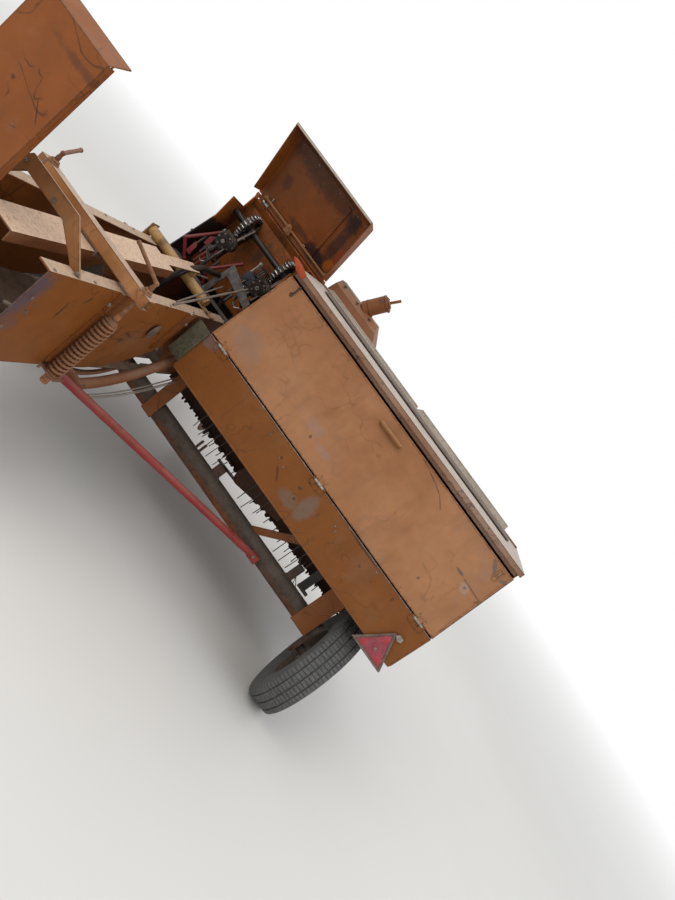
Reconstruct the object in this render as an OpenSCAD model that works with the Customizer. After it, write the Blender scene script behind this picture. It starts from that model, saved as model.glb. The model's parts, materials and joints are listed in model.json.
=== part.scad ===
// Small square baler, parked on its two wheels and its drawbar jack.
// Millimetres. While it is drawn, X runs to the right, Y in the direction of travel and Z up,
// with x = 0 on the middle of the bale chamber, y = 0 on the axle and z = 0 on the ground.
// The module placed() then moves every piece so that the origin is under the middle of the machine.

/* [Bale chamber] */
// Width over the two chamber walls
ch_w = 508; // [460:2:560]
// Height of the chamber walls
ch_h = 430; // [380:5:460]
// Height of the chamber floor above the ground
ch_z = 520; // [500:5:560]
// From the axle back to the rear mouth
ch_back = 1360; // [1250:10:1500]
// From the axle forward to the crank case
ch_front = 1450; // [1350:10:1600]
// Thickness of the wall and floor plates
ch_t = 6; // [4:1:8]
// Width of the flange along the top of each wall
flange_w = 50; // [40:1:60]
// How far the wall stiffeners stand out
rib_out = 12; // [8:1:16]
// Width of the opening that the crop enters through
feed_len = 430; // [360:5:480]
// From the axle forward to the rear edge of that opening
feed_y = 330; // [300:5:360]

/* [Density gear] */
// Width of the tension rail on top of the chamber
rail_w = 140; // [120:2:170]
// Depth of the tension rail
rail_h = 46; // [36:1:60]
// How far the tension rail dips towards the rear
rail_drop = 120; // [90:5:135]
// From the axle back to the density beam
beam_back = 900; // [860:5:940]
// Side of the density beam's square tube
beam_s = 50; // [44:1:56]
// Length of the density beam
beam_len = 690; // [670:2:720]
// Distance of each density screw from the middle
screw_x = 302; // [298:1:308]
// Diameter of the density screws
screw_d = 20; // [16:1:24]
// Outer diameter of the coil springs
spring_d = 68; // [60:1:76]
// Wire diameter of the coil springs
spring_wire = 11; // [8:1:12]
// Free turns of each coil spring
spring_turns = 15; // [10:1:18]
// Length of the coil springs
spring_len = 306; // [280:2:320]
// From the axle back to the tie arch over the chamber
arch_back = 1200; // [1150:10:1240]

/* [Knotters] */
// Height of the knotter shaft above the ground
kn_z = 1320; // [1300:5:1340]
// From the axle forward to the knotter shaft
kn_y = 335; // [325:5:345]
// Distance of the left knotter from the middle
kn_left = 125; // [115:1:150]
// Distance of the right knotter from the middle
kn_right = 182; // [150:1:182]
// Radius of the knotter cam discs
kn_disc_r = 85; // [75:1:90]
// Diameter of the knotter shaft
kn_shaft_d = 34; // [30:1:42]
// Height of the cover's hinge above the ground
cover_z = 1465; // [1450:1:1480]
// Length of the cover's plate
cover_len = 420; // [400:5:440]
// Depth of the cover's sides and of its end lip
cover_side = 108; // [80:2:120]
// How far the open cover leans to the rear, in degrees
cover_lean = 30; // [26:1:34]

/* [Twine box] */
// Left side of the twine box, from the middle of the chamber
box_x = 362; // [356:1:380]
// Width of the twine box
box_w = 1720; // [1690:5:1740]
// Height of the box's lower edge above the ground
box_z = 714; // [712:1:730]
// Height of the door's hinge line
door_z = 957; // [940:1:980]
// Height of the door's upper edge
door_top = 1408; // [1390:1:1425]
// How far the door leans forward
door_lean = 95; // [70:1:110]
// From the axle back to the door's hinge line
door_back = 220; // [200:1:240]
// Thickness of the sheet metal
sheet = 4; // [3:0.5:5]
// From the axle forward to the wall in front of the twine
box_front = 390; // [370:5:400]
// From the axle forward to the nose of the front cover
nose_y = 800; // [780:5:830]
// Height of the box's top plate
top_z = 1460; // [1450:1:1475]

/* [Running gear] */
// Diameter of the tyres
tyre_d = 640; // [620:5:670]
// Width of the tyres
tyre_w = 160; // [150:5:180]
// Diameter of the rim's seat
rim_d = 350; // [340:5:370]
// Distance of the right wheel from the middle of the chamber
wheel_right = 1900; // [1885:5:1915]
// Distance of the left wheel from the middle of the chamber
wheel_left = 462; // [455:5:490]
// Outer diameter of the axle tube
axle_d = 100; // [80:1:110]
// Height of the axle tube's middle
axle_z = 435; // [425:1:445]
// Diameter of the wheel spindles
spindle_d = 45; // [35:1:55]
// Diameter of the red stay tube
stay_d = 38; // [30:1:45]
// From the right wheel in to the stay's foot on the axle tube
stay_in = 584; // [520:4:660]
// From the right wheel in to the post beside it
post_in = 235; // [210:5:260]
// From the right wheel in to the top of the slanted strut
strut_in = 434; // [400:2:500]
// Side of the triangular marker
marker_side = 208; // [180:2:214]

/* [Pickup] */
// Radius of the reel at the tine tips
reel_r = 250; // [235:1:255]
// Outer radius of the curved bands
band_r = 190; // [180:1:200]
// Distance of the tine bars from the reel's middle
bar_r = 110; // [95:1:120]
// From the axle forward to the reel's middle
reel_y = 985; // [980:1:1010]
// Height of the reel's middle above the ground
reel_z = 430; // [420:1:450]
// Number of tine bars
bars = 4; // [3:1:5]
// Number of tines on each bar
tines = 20; // [14:1:24]
// Diameter of a tine
tine_d = 6; // [5:0.5:8]
// Left end of the tined width
pick_x = 480; // [475:1:500]
// Tined width
pick_w = 1480; // [1440:5:1490]
// Diameter of the pickup's gauge wheel
gauge_d = 260; // [240:5:280]

/* [Drive and drawbar] */
// Diameter of the flywheel
fly_d = 620; // [560:5:640]
// Width of the flywheel's rim
fly_w = 70; // [50:1:80]
// Height of the crank case's middle above the ground
drive_z = 880; // [860:5:900]
// Length of the drawbar from its pivot to the hitch eye
bar_len = 1800; // [1700:10:1900]
// Angle of the drawbar to the right as it is parked
bar_angle = 17; // [10:1:20]
// Side of the drawbar's box section
bar_s = 100; // [80:1:110]
// Diameter of the hitch eye's hole
eye_d = 40; // [35:1:50]
// Thickness of the hitch eye
eye_t = 32; // [28:1:40]
// Where the jack stands along the drawbar, from its pivot
jack_at = 1120; // [1000:10:1200]

/* [Bale chute] */
// Length of the bale chute
chute_len = 960; // [900:10:1000]
// Width of the bale chute
chute_w = 315; // [290:5:330]
// Depth of the chute's side flanges
chute_side = 35; // [25:1:40]

/* [Hidden] */
$fn = 48;

// Clearances and small common sizes
run_gap = 0.05;      // radial clearance of a shaft in its bore
seat_gap = 0.3;      // gap between pieces that rest on each other through a curve
move_gap = 6;        // room between a moving piece and a fixed one
orange = "#a9652f";
rust = "#8a5a3c";
iron = "#3a3632";
red = "#a63a33";
rubber = "#3f3c39";

// Chamber
half_w = ch_w / 2;
ch_top = ch_z + ch_h;
feed_top = ch_top - flange_w;
knots = [-kn_left, kn_right];
rib_w = 80;
slot_y = 60;

// Frame origin: the middle of everything's box
left_reach = wheel_left + tyre_w / 2;
box_right = box_x + box_w;
cap_lip = 8;
right_reach = box_right + cap_lip;
pivot_y = ch_front + 230;
pivot_x = 40;
eye_r = eye_d / 2 + 32;
eye_y = pivot_y + bar_len * cos(bar_angle);
eye_x = pivot_x + bar_len * sin(bar_angle);
front_reach = eye_y + eye_r;
chute_pin_d = 16;
chute_pin_back = ch_back + 30;
pan_off = 20;
back_reach = chute_pin_back + pan_off + sheet;
mid_x = (right_reach - left_reach) / 2;
mid_y = (front_reach - back_reach) / 2;

module placed() translate([-mid_x, -mid_y, 0]) children();

// Round bar or tube of radius r between two points
module rod(p, q, r) {
    d = q - p;
    len = norm(d);
    translate(p)
        rotate([0, acos(d[2] / len), atan2(d[1], d[0])])
            cylinder(r = r, h = len);
}

// Flat outline in the Y-Z plane, extruded towards +X from x0
module slab_x(x0, t) translate([x0, 0, 0]) rotate([90, 0, 90]) linear_extrude(t) children();

// Cylinder along X
module disc_x(x0, t, y, z, r) translate([x0, y, z]) rotate([0, 90, 0]) cylinder(r = r, h = t);

// Rectangle with rounded corners, kept as true arcs
module round_rect(w, h, r) {
    translate([r, 0]) square([w - 2 * r, h]);
    translate([0, r]) square([w, h - 2 * r]);
    for (x = [r, w - r], y = [r, h - r]) translate([x, y]) circle(r);
}

// Chamber walls: a plate with a top flange, stiffeners outside and, on the right, the crop opening
sweep_run = 470;     // length of the curved lower edge in front of the needle slots
sweep_rise = 180;    // how far that edge rises
sweep_r = (sweep_run * sweep_run + sweep_rise * sweep_rise) / (2 * sweep_rise);
sweep_y = -slot_y - 156 - sweep_run;
module wall_outline(open) {
    difference() {
        translate([-ch_back, ch_z]) square([ch_back + ch_front, ch_h]);
        difference() {
            translate([sweep_y, ch_z - 1]) square([sweep_run, sweep_rise + 1]);
            translate([sweep_y, ch_z + sweep_r]) circle(sweep_r, $fn = 180);
        }
        polygon([[sweep_y + sweep_run - 1, ch_z - 1], [sweep_y + sweep_run - 1, ch_z + sweep_rise],
            [-slot_y - 90, ch_z + sweep_rise], [slot_y, ch_z - 1]]);
        if (open) translate([feed_y, ch_z + ch_t + 40]) square([feed_len, feed_top - ch_z - ch_t - 40]);
    }
}

module chamber_wall(side, open) {
    x_out = side > 0 ? half_w - ch_t : -half_w;
    x_flange = side > 0 ? half_w - ch_t - flange_w : -half_w + ch_t;
    x_rib = side > 0 ? half_w : -half_w - rib_out;
    slab_x(x_out, ch_t) wall_outline(open);
    for (span = [[-ch_back, kn_y - 175], [kn_y + 90, ch_front]])
        translate([x_flange, span[0], ch_top - ch_t]) cube([flange_w, span[1] - span[0], ch_t]);
    // columns: start of the rib along Y, its width, its lower end above the floor
    ribs = [[-beam_back - 30, rib_w, 30], [-310, 22, 180], [feed_y + feed_len + 20, 60, 0],
        [ch_front - 70, 60, 0]];
    for (r = ribs)
        translate([x_rib, r[0], ch_z + r[2]]) cube([rib_out, r[1], ch_h - r[2]]);
    for (z = [ch_z, ch_top - 50])
        translate([x_rib, feed_y + feed_len + 80, z]) cube([rib_out, ch_front - feed_y - feed_len - 150, 50]);
}

module chamber_right_wall() color(orange) placed() chamber_wall(1, true);

module chamber_left_wall() color(orange) placed() chamber_wall(-1, false);

// Floor with the two needle slots, and the ears of the chute's hinge pin on its rear edge
chute_x1 = -half_w + 205;
chute_x0 = chute_x1 - chute_w;
ear_t = 8;
module chute_ear(x) {
    ear_r = 13;
    slab_x(x, ear_t) {
        translate([-chute_pin_back, ch_z - ear_r]) circle(ear_r);
        translate([-chute_pin_back, ch_z - 2 * ear_r]) square([chute_pin_back - ch_back + 60, 2 * ear_r]);
    }
}

module chamber_floor() color(rust) placed() {
    in_w = ch_w - 2 * ch_t;
    difference() {
        translate([-in_w / 2, -ch_back, ch_z]) cube([in_w, ch_back + ch_front, ch_t]);
        for (x = knots)
            translate([x - 25, -slot_y - 160, ch_z - 1]) cube([50, 2 * slot_y + 200, ch_t + 2]);
    }
    for (x = [-half_w + 20, chute_x1 - 60]) chute_ear(x);
    disc_x(chute_x0 - 10, chute_w + 20, -chute_pin_back, ch_z - 13, chute_pin_d / 2);
}

module chamber_top_plate() color(orange) placed() {
    translate([-half_w, kn_y + 95, ch_top]) cube([ch_w, ch_front - kn_y - 95, ch_t]);
}

// Inverted channel that presses on the bales: its front end lies on the cross tube, its rear end dips
tube_r = 26;
tube_y = -slot_y + 10;
rail_front = tube_y + tube_r;
rail_len = ch_back + rail_front - 8;
rail_slope = asin(rail_drop / rail_len);
rail_lift = 26;      // height of the block between the cross tube and the rail
neck_len = 310;      // the rail's front part, where only a strip of its top is left
neck_w = 64;
rail_z = ch_top + rail_lift + tube_r + (tube_r + ch_t + seat_gap + tube_r * sin(rail_slope)) / cos(rail_slope);
function rail_top(y) = rail_z - (rail_front - y) * tan(rail_slope);
module tension_rail() color(rust) placed()
    translate([0, rail_front, rail_z]) rotate([rail_slope, 0, 0]) translate([0, -rail_len, -rail_h]) difference() {
        translate([-rail_w / 2, 0, 0]) cube([rail_w, rail_len, rail_h]);
        translate([-rail_w / 2 + ch_t, -1, -1]) cube([rail_w - 2 * ch_t, rail_len + 2, rail_h - ch_t + 1]);
        translate([-rail_w / 2 - 1, rail_len - 2 * tube_r - 12, -1])
            cube([rail_w + 2, 2 * tube_r + 13, rail_h - ch_t + 1]);
        for (x = [-rail_w / 2 - 1, neck_w / 2])
            translate([x, rail_len - neck_len, -1]) cube([(rail_w - neck_w) / 2 + 1, neck_len + 1, rail_h + 2]);
    }

// Square tube across the chamber, with a shoe that pushes on the rail and grips its sides
shoe_t = 6;
shoe_w = 50;
beam_z = rail_top(-beam_back + shoe_w / 2) + seat_gap + shoe_t;
beam_wall = 5;
module density_beam() color(rust) placed() difference() {
    translate([-beam_len / 2, -beam_back - beam_s / 2, beam_z]) cube([beam_len, beam_s, beam_s]);
    translate([-beam_len / 2 - 1, -beam_back - beam_s / 2 + beam_wall, beam_z + beam_wall])
        cube([beam_len + 2, beam_s - 2 * beam_wall, beam_s - 2 * beam_wall]);
    for (x = [-screw_x, screw_x]) translate([x, -beam_back, beam_z - 1]) cylinder(d = screw_d + 1, h = beam_s + 2);
}

// Shoe between the beam and the rail, with a lug down each side of the rail
module beam_shoe() color(rust) placed() {
    lug_t = 6;
    lug_h = 22;
    reach = rail_w / 2 + 1;
    translate([-reach - lug_t, -beam_back - shoe_w / 2, beam_z - shoe_t]) cube([2 * (reach + lug_t), shoe_w, shoe_t]);
    for (x = [-reach - lug_t, reach])
        translate([x, -beam_back - shoe_w / 2, beam_z - shoe_t - lug_h]) cube([lug_t, shoe_w, lug_h + 1]);
}

// Screws with bent cranks on top and a foot plate under each spring
spring_z = ch_z + 14;
crank_r = 8;
// columns: side, run of the bent crank along X, its run along Y
cranks = [[1, -220, 122], [-1, -108, 220]];
module density_screws() color(rust) placed() for (crank = cranks) {
    side = crank[0];
    x = side * screw_x;
    top = beam_z + beam_s;
    elbow = [x, -beam_back, top + 52];
    tip = elbow + [crank[1], crank[2], 6];
    translate([x, -beam_back, spring_z - 40]) cylinder(d = screw_d, h = top + 34 - spring_z + 40);
    translate([x, -beam_back, top + 30]) cylinder(r = crank_r, h = elbow[2] - top - 30);
    translate(elbow) sphere(crank_r + 2);
    rod(elbow, tip, crank_r);
    translate(tip) sphere(crank_r + 2);
    translate([x, -beam_back, spring_z + spring_len + seat_gap]) cylinder(r1 = 30, r2 = 16, h = 16);
    translate([x, -beam_back, top]) cylinder(r = 17, h = 14);
    difference() {
        translate([side > 0 ? half_w : -half_w - 88, -beam_back - 34, spring_z - 8]) cube([88, 68, 8 - seat_gap]);
        translate([x, -beam_back, spring_z - 9]) cylinder(d = screw_d, h = 10);
    }
    translate([x, -beam_back, spring_z - 26]) cylinder(r = 16, h = 18);
}

// Closed coil springs, swept as one skin each round the screws
module coil(turns, len, r, wire, per_turn = 12, sides = 6) {
    rings = turns * per_turn;
    pitch = (len - wire) / turns;
    pts = [for (i = [0:rings], j = [0:sides - 1])
        let (a = 360 * i / per_turn, b = 360 * (j + 0.5) / sides, q = r + wire / 2 * cos(b))
            [q * cos(a), q * sin(a), wire / 2 + pitch * i / per_turn + wire / 2 * sin(b)]];
    skin = [for (i = [0:rings - 1], j = [0:sides - 1])
        let (k = (j + 1) % sides) [i * sides + j, i * sides + k, (i + 1) * sides + k, (i + 1) * sides + j]];
    polyhedron(pts, concat([[for (j = [sides - 1:-1:0]) j]], skin,
        [[for (j = [0:sides - 1]) rings * sides + j]]));
}

module density_springs() color(rust) placed() for (side = [-1, 1])
    translate([side * screw_x, -beam_back, spring_z])
        coil(spring_turns, spring_len, (spring_d - spring_wire) / 2, spring_wire);

// Flat bar bent into an arch from flange to flange
module tie_arch() color(orange) placed() {
    h = 55;
    rise = 70;
    foot = half_w - 28;
    bend_r = 80;
    bend_l = -150;
    translate([0, -arch_back + 5, 0]) rotate([90, 0, 0]) linear_extrude(10) polygon([
        [foot + 26, ch_top], [foot - 28, ch_top], [bend_r - 12, ch_top + rise], [bend_l + 12, ch_top + rise],
        [-foot + 28, ch_top], [-foot - 26, ch_top], [bend_l - 14, ch_top + rise + h],
        [bend_r + 14, ch_top + rise + h]]);
}

// Plunger head in its forward position, its face grooved for the needles
plunger_len = 330;
module plunger() color(iron) placed() difference() {
    gap = 3;
    translate([-half_w + ch_t + gap, feed_y + feed_len + 20, ch_z + ch_t + seat_gap])
        cube([ch_w - 2 * ch_t - 2 * gap, plunger_len, ch_h - 2 * ch_t - 2 * gap]);
    for (x = knots)
        translate([x - 25, feed_y + feed_len + 10, ch_z]) cube([50, 120, ch_h]);
}

// Crank case on the front of the chamber with its drive housing, shaft and drawbar bracket
case_len = 260;
case_t = 12;
case_low = ch_z - 110;
fly_gap = 12;
shaft_d = 50;
hub_deep = 70;
fly_y = ch_front + case_len + 50;
pin_d = 50;
bar_z = case_low - 22 - bar_s / 2;
boss_r = bar_s / 2 + 14;
module crank_case() color(orange) placed() {
    translate([-half_w, ch_front, ch_z - 20]) cube([ch_w, case_t, ch_h + 60]);
    for (x = [-half_w, half_w - case_t]) translate([x, ch_front, case_low]) cube([case_t, case_len, ch_h + 100]);
    translate([-half_w + case_t, ch_front, case_low]) cube([ch_w - 2 * case_t, case_len + 30, case_t]);
    translate([-half_w + case_t, ch_front, case_low]) cube([ch_w - 2 * case_t, case_t, ch_z - 20 - case_low]);
    translate([-170, ch_front + case_t, drive_z - 170]) cube([340, 150, 340]);
    translate([0, ch_front + 162, drive_z]) rotate([-90, 0, 0]) cylinder(r = 130, h = 60);
    translate([0, ch_front + 222, drive_z]) rotate([-90, 0, 0]) cylinder(r = 62, h = fly_y - fly_gap - ch_front - 222);
    translate([0, ch_front + 222, drive_z]) rotate([-90, 0, 0])
        cylinder(d = shaft_d, h = fly_y - ch_front - 222 + hub_deep - 4);
    // pin of the drawbar, held above and below
    translate([pivot_x, pivot_y, bar_z - bar_s / 2 - 24]) cylinder(d = pin_d, h = bar_s + 24 + 22 + case_t);
    translate([pivot_x, pivot_y, bar_z + bar_s / 2 + seat_gap]) cylinder(r = 44, h = 22);
    translate([pivot_x - 60, pivot_y - boss_r - move_gap - case_t, bar_z - bar_s / 2 - 12])
        cube([120, case_t, case_low - bar_z + bar_s / 2 + 12]);
    translate([pivot_x - 60, pivot_y - boss_r - move_gap - case_t, bar_z - bar_s / 2 - 12 - seat_gap])
        cube([120, boss_r + move_gap + case_t + 40, 12]);
}

// Side plates of the knotter frame, the guard sheet in front and the rod that the cover swings on
frame_t = 6;
frame_front = kn_y + 95;
cover_y = kn_y + 55;
rod_d = 12;
cover_x0 = -half_w - 10;
cover_x1 = box_x - 10;
// columns: start of a fixed eye along X, its length
eyes = [[cover_x0, 20], [cover_x0 + 260, 24], [cover_x1 - 20, 20]];
strap_x = 12;        // left edge of the bent strap at its foot
strap_y = kn_y - 160;
strap_w = 32;
strap_t = 8;
strap_top = kn_z - 154;
bar_t = 10;
module knotter_frame() color(iron) placed() {
    difference() {
        for (x = [-half_w, half_w - frame_t]) slab_x(x, frame_t)
            polygon([[kn_y - 200, ch_top], [frame_front, ch_top], [frame_front, cover_z - 60],
                [cover_y - 4, cover_z - 20], [kn_y + 35, cover_z - 24], [kn_y + 35, kn_z + 44], [kn_y - 135, kn_z + 52],
                [kn_y - 110, kn_z - 85]]);
        disc_x(-half_w - 5, ch_w + 10, kn_y, kn_z, kn_shaft_d / 2);
    }
    slab_x(-half_w + 1, box_x - sheet + half_w - 1) polygon([[frame_front - 1, ch_top + ch_t],
        [frame_front + 5, ch_top + ch_t], [frame_front + 5, cover_z - 58], [cover_y + 9, cover_z - 16],
        [cover_y + 3, cover_z - 20], [frame_front - 1, cover_z - 61]]);
    slab_x(-half_w + 1, box_x - sheet + half_w - 1)
        translate([frame_front + 1, cover_z - 64]) square([4, 62]);
    disc_x(cover_x0 + 1, cover_x1 - cover_x0 - 2, cover_y, cover_z, rod_d / 2);
    for (e = eyes) {
        disc_x(e[0], e[1], cover_y, cover_z, 10);
        slab_x(e[0] + 1, e[1] - 2) polygon([[cover_y - 6, cover_z - 4], [cover_y + 7, cover_z - 4],
            [cover_y + 12, cover_z - 23], [cover_y + 2, cover_z - 23]]);
    }
    // bent strap from the bar on the chamber to the right side plate
    translate([0, strap_y + strap_t, 0]) rotate([90, 0, 0]) linear_extrude(strap_t) polygon([
        [strap_x, ch_top + bar_t - 1], [strap_x + strap_w, ch_top + bar_t - 1],
        [strap_x + strap_w + 11, strap_top - 2 * strap_w], [half_w - 1, strap_top - 3 * strap_w - 4],
        [half_w - 1, strap_top - 58], [strap_x + 30, strap_top], [strap_x + 22, strap_top - 8]]);
    translate([-half_w + ch_t, strap_y - 5, ch_top]) cube([ch_w - 2 * ch_t, 40, bar_t]);
}

// Knotter shaft with the timing disc and the two cam rings, each a toothed rim on three spokes
cam_w = 34;          // width of a cam ring
cam_hub = 30;        // outer radius of its hub
tooth_h = 9;
tooth_w = 9;
module cam_ring(x) {
    teeth = 22;
    rim = kn_disc_r - tooth_h;
    difference() {
        disc_x(x - cam_w / 2, cam_w, kn_y, kn_z, rim);
        disc_x(x - cam_w / 2 - 1, cam_w + 2, kn_y, kn_z, rim - 13);
    }
    disc_x(x - cam_w / 2 - 10, cam_w + 20, kn_y, kn_z, cam_hub);
    translate([x, kn_y, kn_z]) {
        for (i = [0:teeth - 1]) rotate([i * 360 / teeth, 0, 0])
            translate([-cam_w / 2, -tooth_w / 2, rim - 2]) cube([cam_w, tooth_w, tooth_h + 2]);
        for (a = [30, 150, 270]) rotate([a, 0, 0])
            translate([-6, -9, cam_hub - 3]) cube([12, 18, rim - cam_hub - 8]);
    }
}

module knotter_shaft() color(iron) placed() {
    disc_x(-half_w, ch_w + 40, kn_y, kn_z, kn_shaft_d / 2);
    for (x = knots) cam_ring(x);
    disc_x(half_w + 10, 24, kn_y, kn_z, 70);
}

// One knotter head beside the cam ring at x = 0: hung arm, gear casting, bill hook, twine discs and holder
arm_x = 32;          // inner face of the arm
arm_t = 12;
module knotter_head() {
    // arm that hangs from the shaft to the right of the cam ring
    disc_x(arm_x - 1, arm_t + 3, 0, 0, 33);
    slab_x(arm_x, arm_t) polygon([[-32, 4], [-70, -78], [-104, -160], [-104, -245], [-66, -262], [-46, -160], [30, -6]]);
    // gear casting under the cam ring, with the round boss of its bevel gear
    slab_x(-arm_x - 1, 2 * arm_x + 2) polygon([[-42, -96], [-76, -80], [-104, -104], [-112, -176], [-88, -196],
        [-58, -160]]);
    rod([12, -78, -118], [19, -138, -128], 44);
    rod([19, -136, -128], [22, -152, -131], 24);
    disc_x(-58, 58 + arm_x + arm_t + 2, -92, -168, 15);
    // bill hook on its slanted spindle, jaw open
    rod([4, -84, -150], [-6, -128, -236], 14);
    rod([-2, -112, -205], [-6, -122, -226], 25);
    rod([-6, -128, -236], [38, -136, -256], 8);
    rod([-2, -130, -228], [36, -134, -240], 5);
    translate([38, -136, -256]) sphere(10);
    // three notched twine discs on the worm's stub
    for (k = [0:2]) difference() {
        rod([-44 + 9 * k, -70 - 3 * k, -214], [-39 + 9 * k, -72 - 3 * k, -214], 34);
        for (a = [45:90:315])
            translate([-42 + 9 * k, -71 - 3 * k + 32 * cos(a), -214 + 32 * sin(a)]) rotate([0, 90, 0])
                cylinder(r = 6, h = 30, center = true);
    }
    rod([-62, -62, -214], [4, -88, -214], 11);
    // twine holder with its bolt and the arm that clears the hook
    slab_x(-24, 10) polygon([[-84, -184], [-140, -224], [-146, -262], [-128, -262], [-120, -230], [-72, -198]]);
    rod([-60, -98, -186], [arm_x + arm_t + 2, -98, -186], 6);
}

module knotters() color(iron) placed() for (x = knots)
    translate([x, kn_y, kn_z]) difference() {
        knotter_head();
        disc_x(-70, 140, 0, 0, kn_shaft_d / 2 + seat_gap);
        disc_x(-arm_x + 3, 2 * arm_x - 6, 0, 0, kn_disc_r + 1);
    }

// Bent red arms behind the knotters; they stand on the bar across the chamber
guide_r = 9;
guide_ball = guide_r + 2;
// columns: place along X where an arm starts, bends and ends
arms = [[-kn_left - 35 - guide_ball - seat_gap, -232, -171], [37, -25, -3]];
module twine_guides() color(red) placed() for (a = arms) {
    start = [a[0], kn_y - 95, kn_z - 130];
    elbow = [a[1], strap_y - 30, kn_z - 272];
    foot = [a[2], strap_y + 8, ch_top + bar_t + guide_ball + seat_gap];
    rod(start, elbow, guide_r);
    rod(elbow, foot, guide_r);
    for (p = [start, elbow, foot]) translate(p) sphere(guide_ball);
}

// Tube across the top of the chamber behind the knotters
tube_x0 = -half_w - 30;
block_l = 36;        // length of the block that carries the rail
rail_seat = (ch_t + seat_gap) / cos(rail_slope);
tube_x1 = half_w - 74;
module cross_tube() color("#c28a3f") placed() {
    disc_x(tube_x0, tube_x1 - tube_x0, tube_y, ch_top + tube_r, tube_r);
    translate([tube_x0 - ch_t, tube_y - 32, ch_top - 40]) cube([ch_t, 70, 96]);
    translate([tube_x0 - ch_t, tube_y - 32, ch_top - 40]) cube([-half_w - tube_x0 + ch_t, 70, ch_t]);
    translate([tube_x1 - 30, tube_y - 22, ch_top]) cube([half_w - tube_x1 + 30, 44, 8]);
    translate([-neck_w / 2, tube_y - block_l / 2, ch_top + tube_r])
        cube([neck_w, block_l, rail_top(tube_y - block_l / 2) - rail_seat - ch_top - tube_r]);
}

// Needle yoke: two long bent arms outside the walls, a cross pipe under the floor and two curved needles
yoke_r = 24;
yoke_x = half_w + 66;
yoke_y = -95;
yoke_z = ch_z + 215;
yoke_bend = 1040;
yoke_cy = yoke_y - yoke_bend * cos(50);
yoke_cz = yoke_z + yoke_bend * sin(50);
yoke_end = 87;
pipe_y = yoke_cy + yoke_bend * cos(yoke_end);
pipe_z = yoke_cz - yoke_bend * sin(yoke_end);
module arc_x(x, y, z, r, from, to, $fn = 96) translate([x, y, z]) rotate([90, 0, 90]) rotate([0, 0, from])
    rotate_extrude(angle = to - from) translate([r, 0]) children();

needle_run = 590;
needle_sag = 88;
needle_r = (needle_run * needle_run / 4 + needle_sag * needle_sag) / (2 * needle_sag);
needle_half = asin(needle_run / 2 / needle_r);
module needle_yoke() color(rust) placed() {
    for (x = [-yoke_x, yoke_x]) {
        arc_x(x, yoke_cy, yoke_cz, yoke_bend, -yoke_end, -50) circle(yoke_r);
        disc_x(x - yoke_r - 4, 2 * yoke_r + 8, yoke_y, yoke_z, 36);
    }
    disc_x(-yoke_x - yoke_r, 2 * (yoke_x + yoke_r), pipe_y, pipe_z, yoke_r);
    for (x = knots)
        arc_x(x, pipe_y + needle_run / 2, pipe_z + needle_r - needle_sag, needle_r, -90 - needle_half,
            -90 + needle_half) translate([-13, -6]) square([26, 12]);
    for (x = [-yoke_x, half_w]) disc_x(x, yoke_x - half_w, yoke_y, yoke_z, 18);
}

// Twine box: side panels, floor, front wall, rear apron, top and front cover
door_y = -door_back;
door_ty = -door_back + door_lean;
lip_y = nose_y - 180;
lip_z = top_z - 24;
nose_z = top_z - 250;
module side_outline() polygon([[door_y - 6, box_z], [door_y, door_z], [door_ty, door_top], [door_ty, top_z - sheet],
    [box_front + sheet, top_z - sheet], [lip_y, lip_z], [nose_y, nose_z], [nose_y, door_z - 20],
    [feed_y + feed_len - 60, box_z]]);
function cover_top(y) = top_z - sheet - (y - box_front - sheet) * (lip_z - top_z + sheet) / (box_front + sheet - lip_y);

module box_left_side() color(orange) placed() difference() {
    slab_x(box_x, sheet) side_outline();
    slab_x(box_x - 1, sheet + 2) translate([feed_y, box_z - 1]) square([feed_len, door_z - box_z - 90]);
}

module box_right_side() color(orange) placed() slab_x(box_right - sheet, sheet) side_outline();

module box_floor() color(rust) placed()
    translate([box_x + sheet, door_y + sheet + 2, door_z - 12])
        cube([box_w - 2 * sheet, box_front - door_y - sheet - 2, sheet]);

module box_front_wall() color(orange) placed()
    translate([box_x + sheet, box_front, door_z - 12]) cube([box_w - 2 * sheet, sheet, top_z - door_z + 12 - sheet]);

// Rear apron with the fixed knuckles of the door's hinges
hinge_r = 5;
hinge_pin = 3;
hinge_y = door_y - sheet - 1 - hinge_r;
hinge_z = door_z - 2;
knuckle = 30;
hinge_in = 95;       // from the ends of the box to the outer hinges
hinge_xs = [box_x + hinge_in, box_x + box_w / 2, box_right - hinge_in];
module box_rear_panel() color(orange) placed() {
    slab_x(box_x + sheet, box_w - 2 * sheet) polygon([[door_y - sheet - 6, box_z], [door_y - sheet - 1, door_z - 6],
        [door_y - 1, door_z - 6], [door_y - 6, box_z]]);
    translate([box_x + sheet, door_y - 8, box_z]) cube([box_w - 2 * sheet, 36, sheet]);
    for (x = hinge_xs) {
        disc_x(x - 1.5 * knuckle, 3 * knuckle, hinge_y, hinge_z, hinge_pin);
        for (s = [-1.5, 0.5]) {
            disc_x(x + s * knuckle + 0.5, knuckle - 1, hinge_y, hinge_z, hinge_r);
            translate([x + s * knuckle + 0.5, hinge_y, hinge_z - 30]) cube([knuckle - 1, hinge_r, 30]);
        }
    }
}

module box_top() color(orange) placed() {
    translate([box_x - 2, door_ty - 22, top_z - sheet]) cube([box_w + 2 + cap_lip, box_front - door_ty + 22 + sheet, sheet]);
    translate([box_x - 2, door_ty - 22, top_z - 26]) cube([box_w + 2 + cap_lip, sheet, 26]);
    translate([box_x + sheet, door_ty + 4, door_top + 6]) cube([box_w - 2 * sheet, sheet, top_z - sheet - door_top - 6]);
    translate([box_x + sheet, box_front - 40, top_z]) cube([box_w - 2 * sheet, 30, 8]);
}

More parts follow.
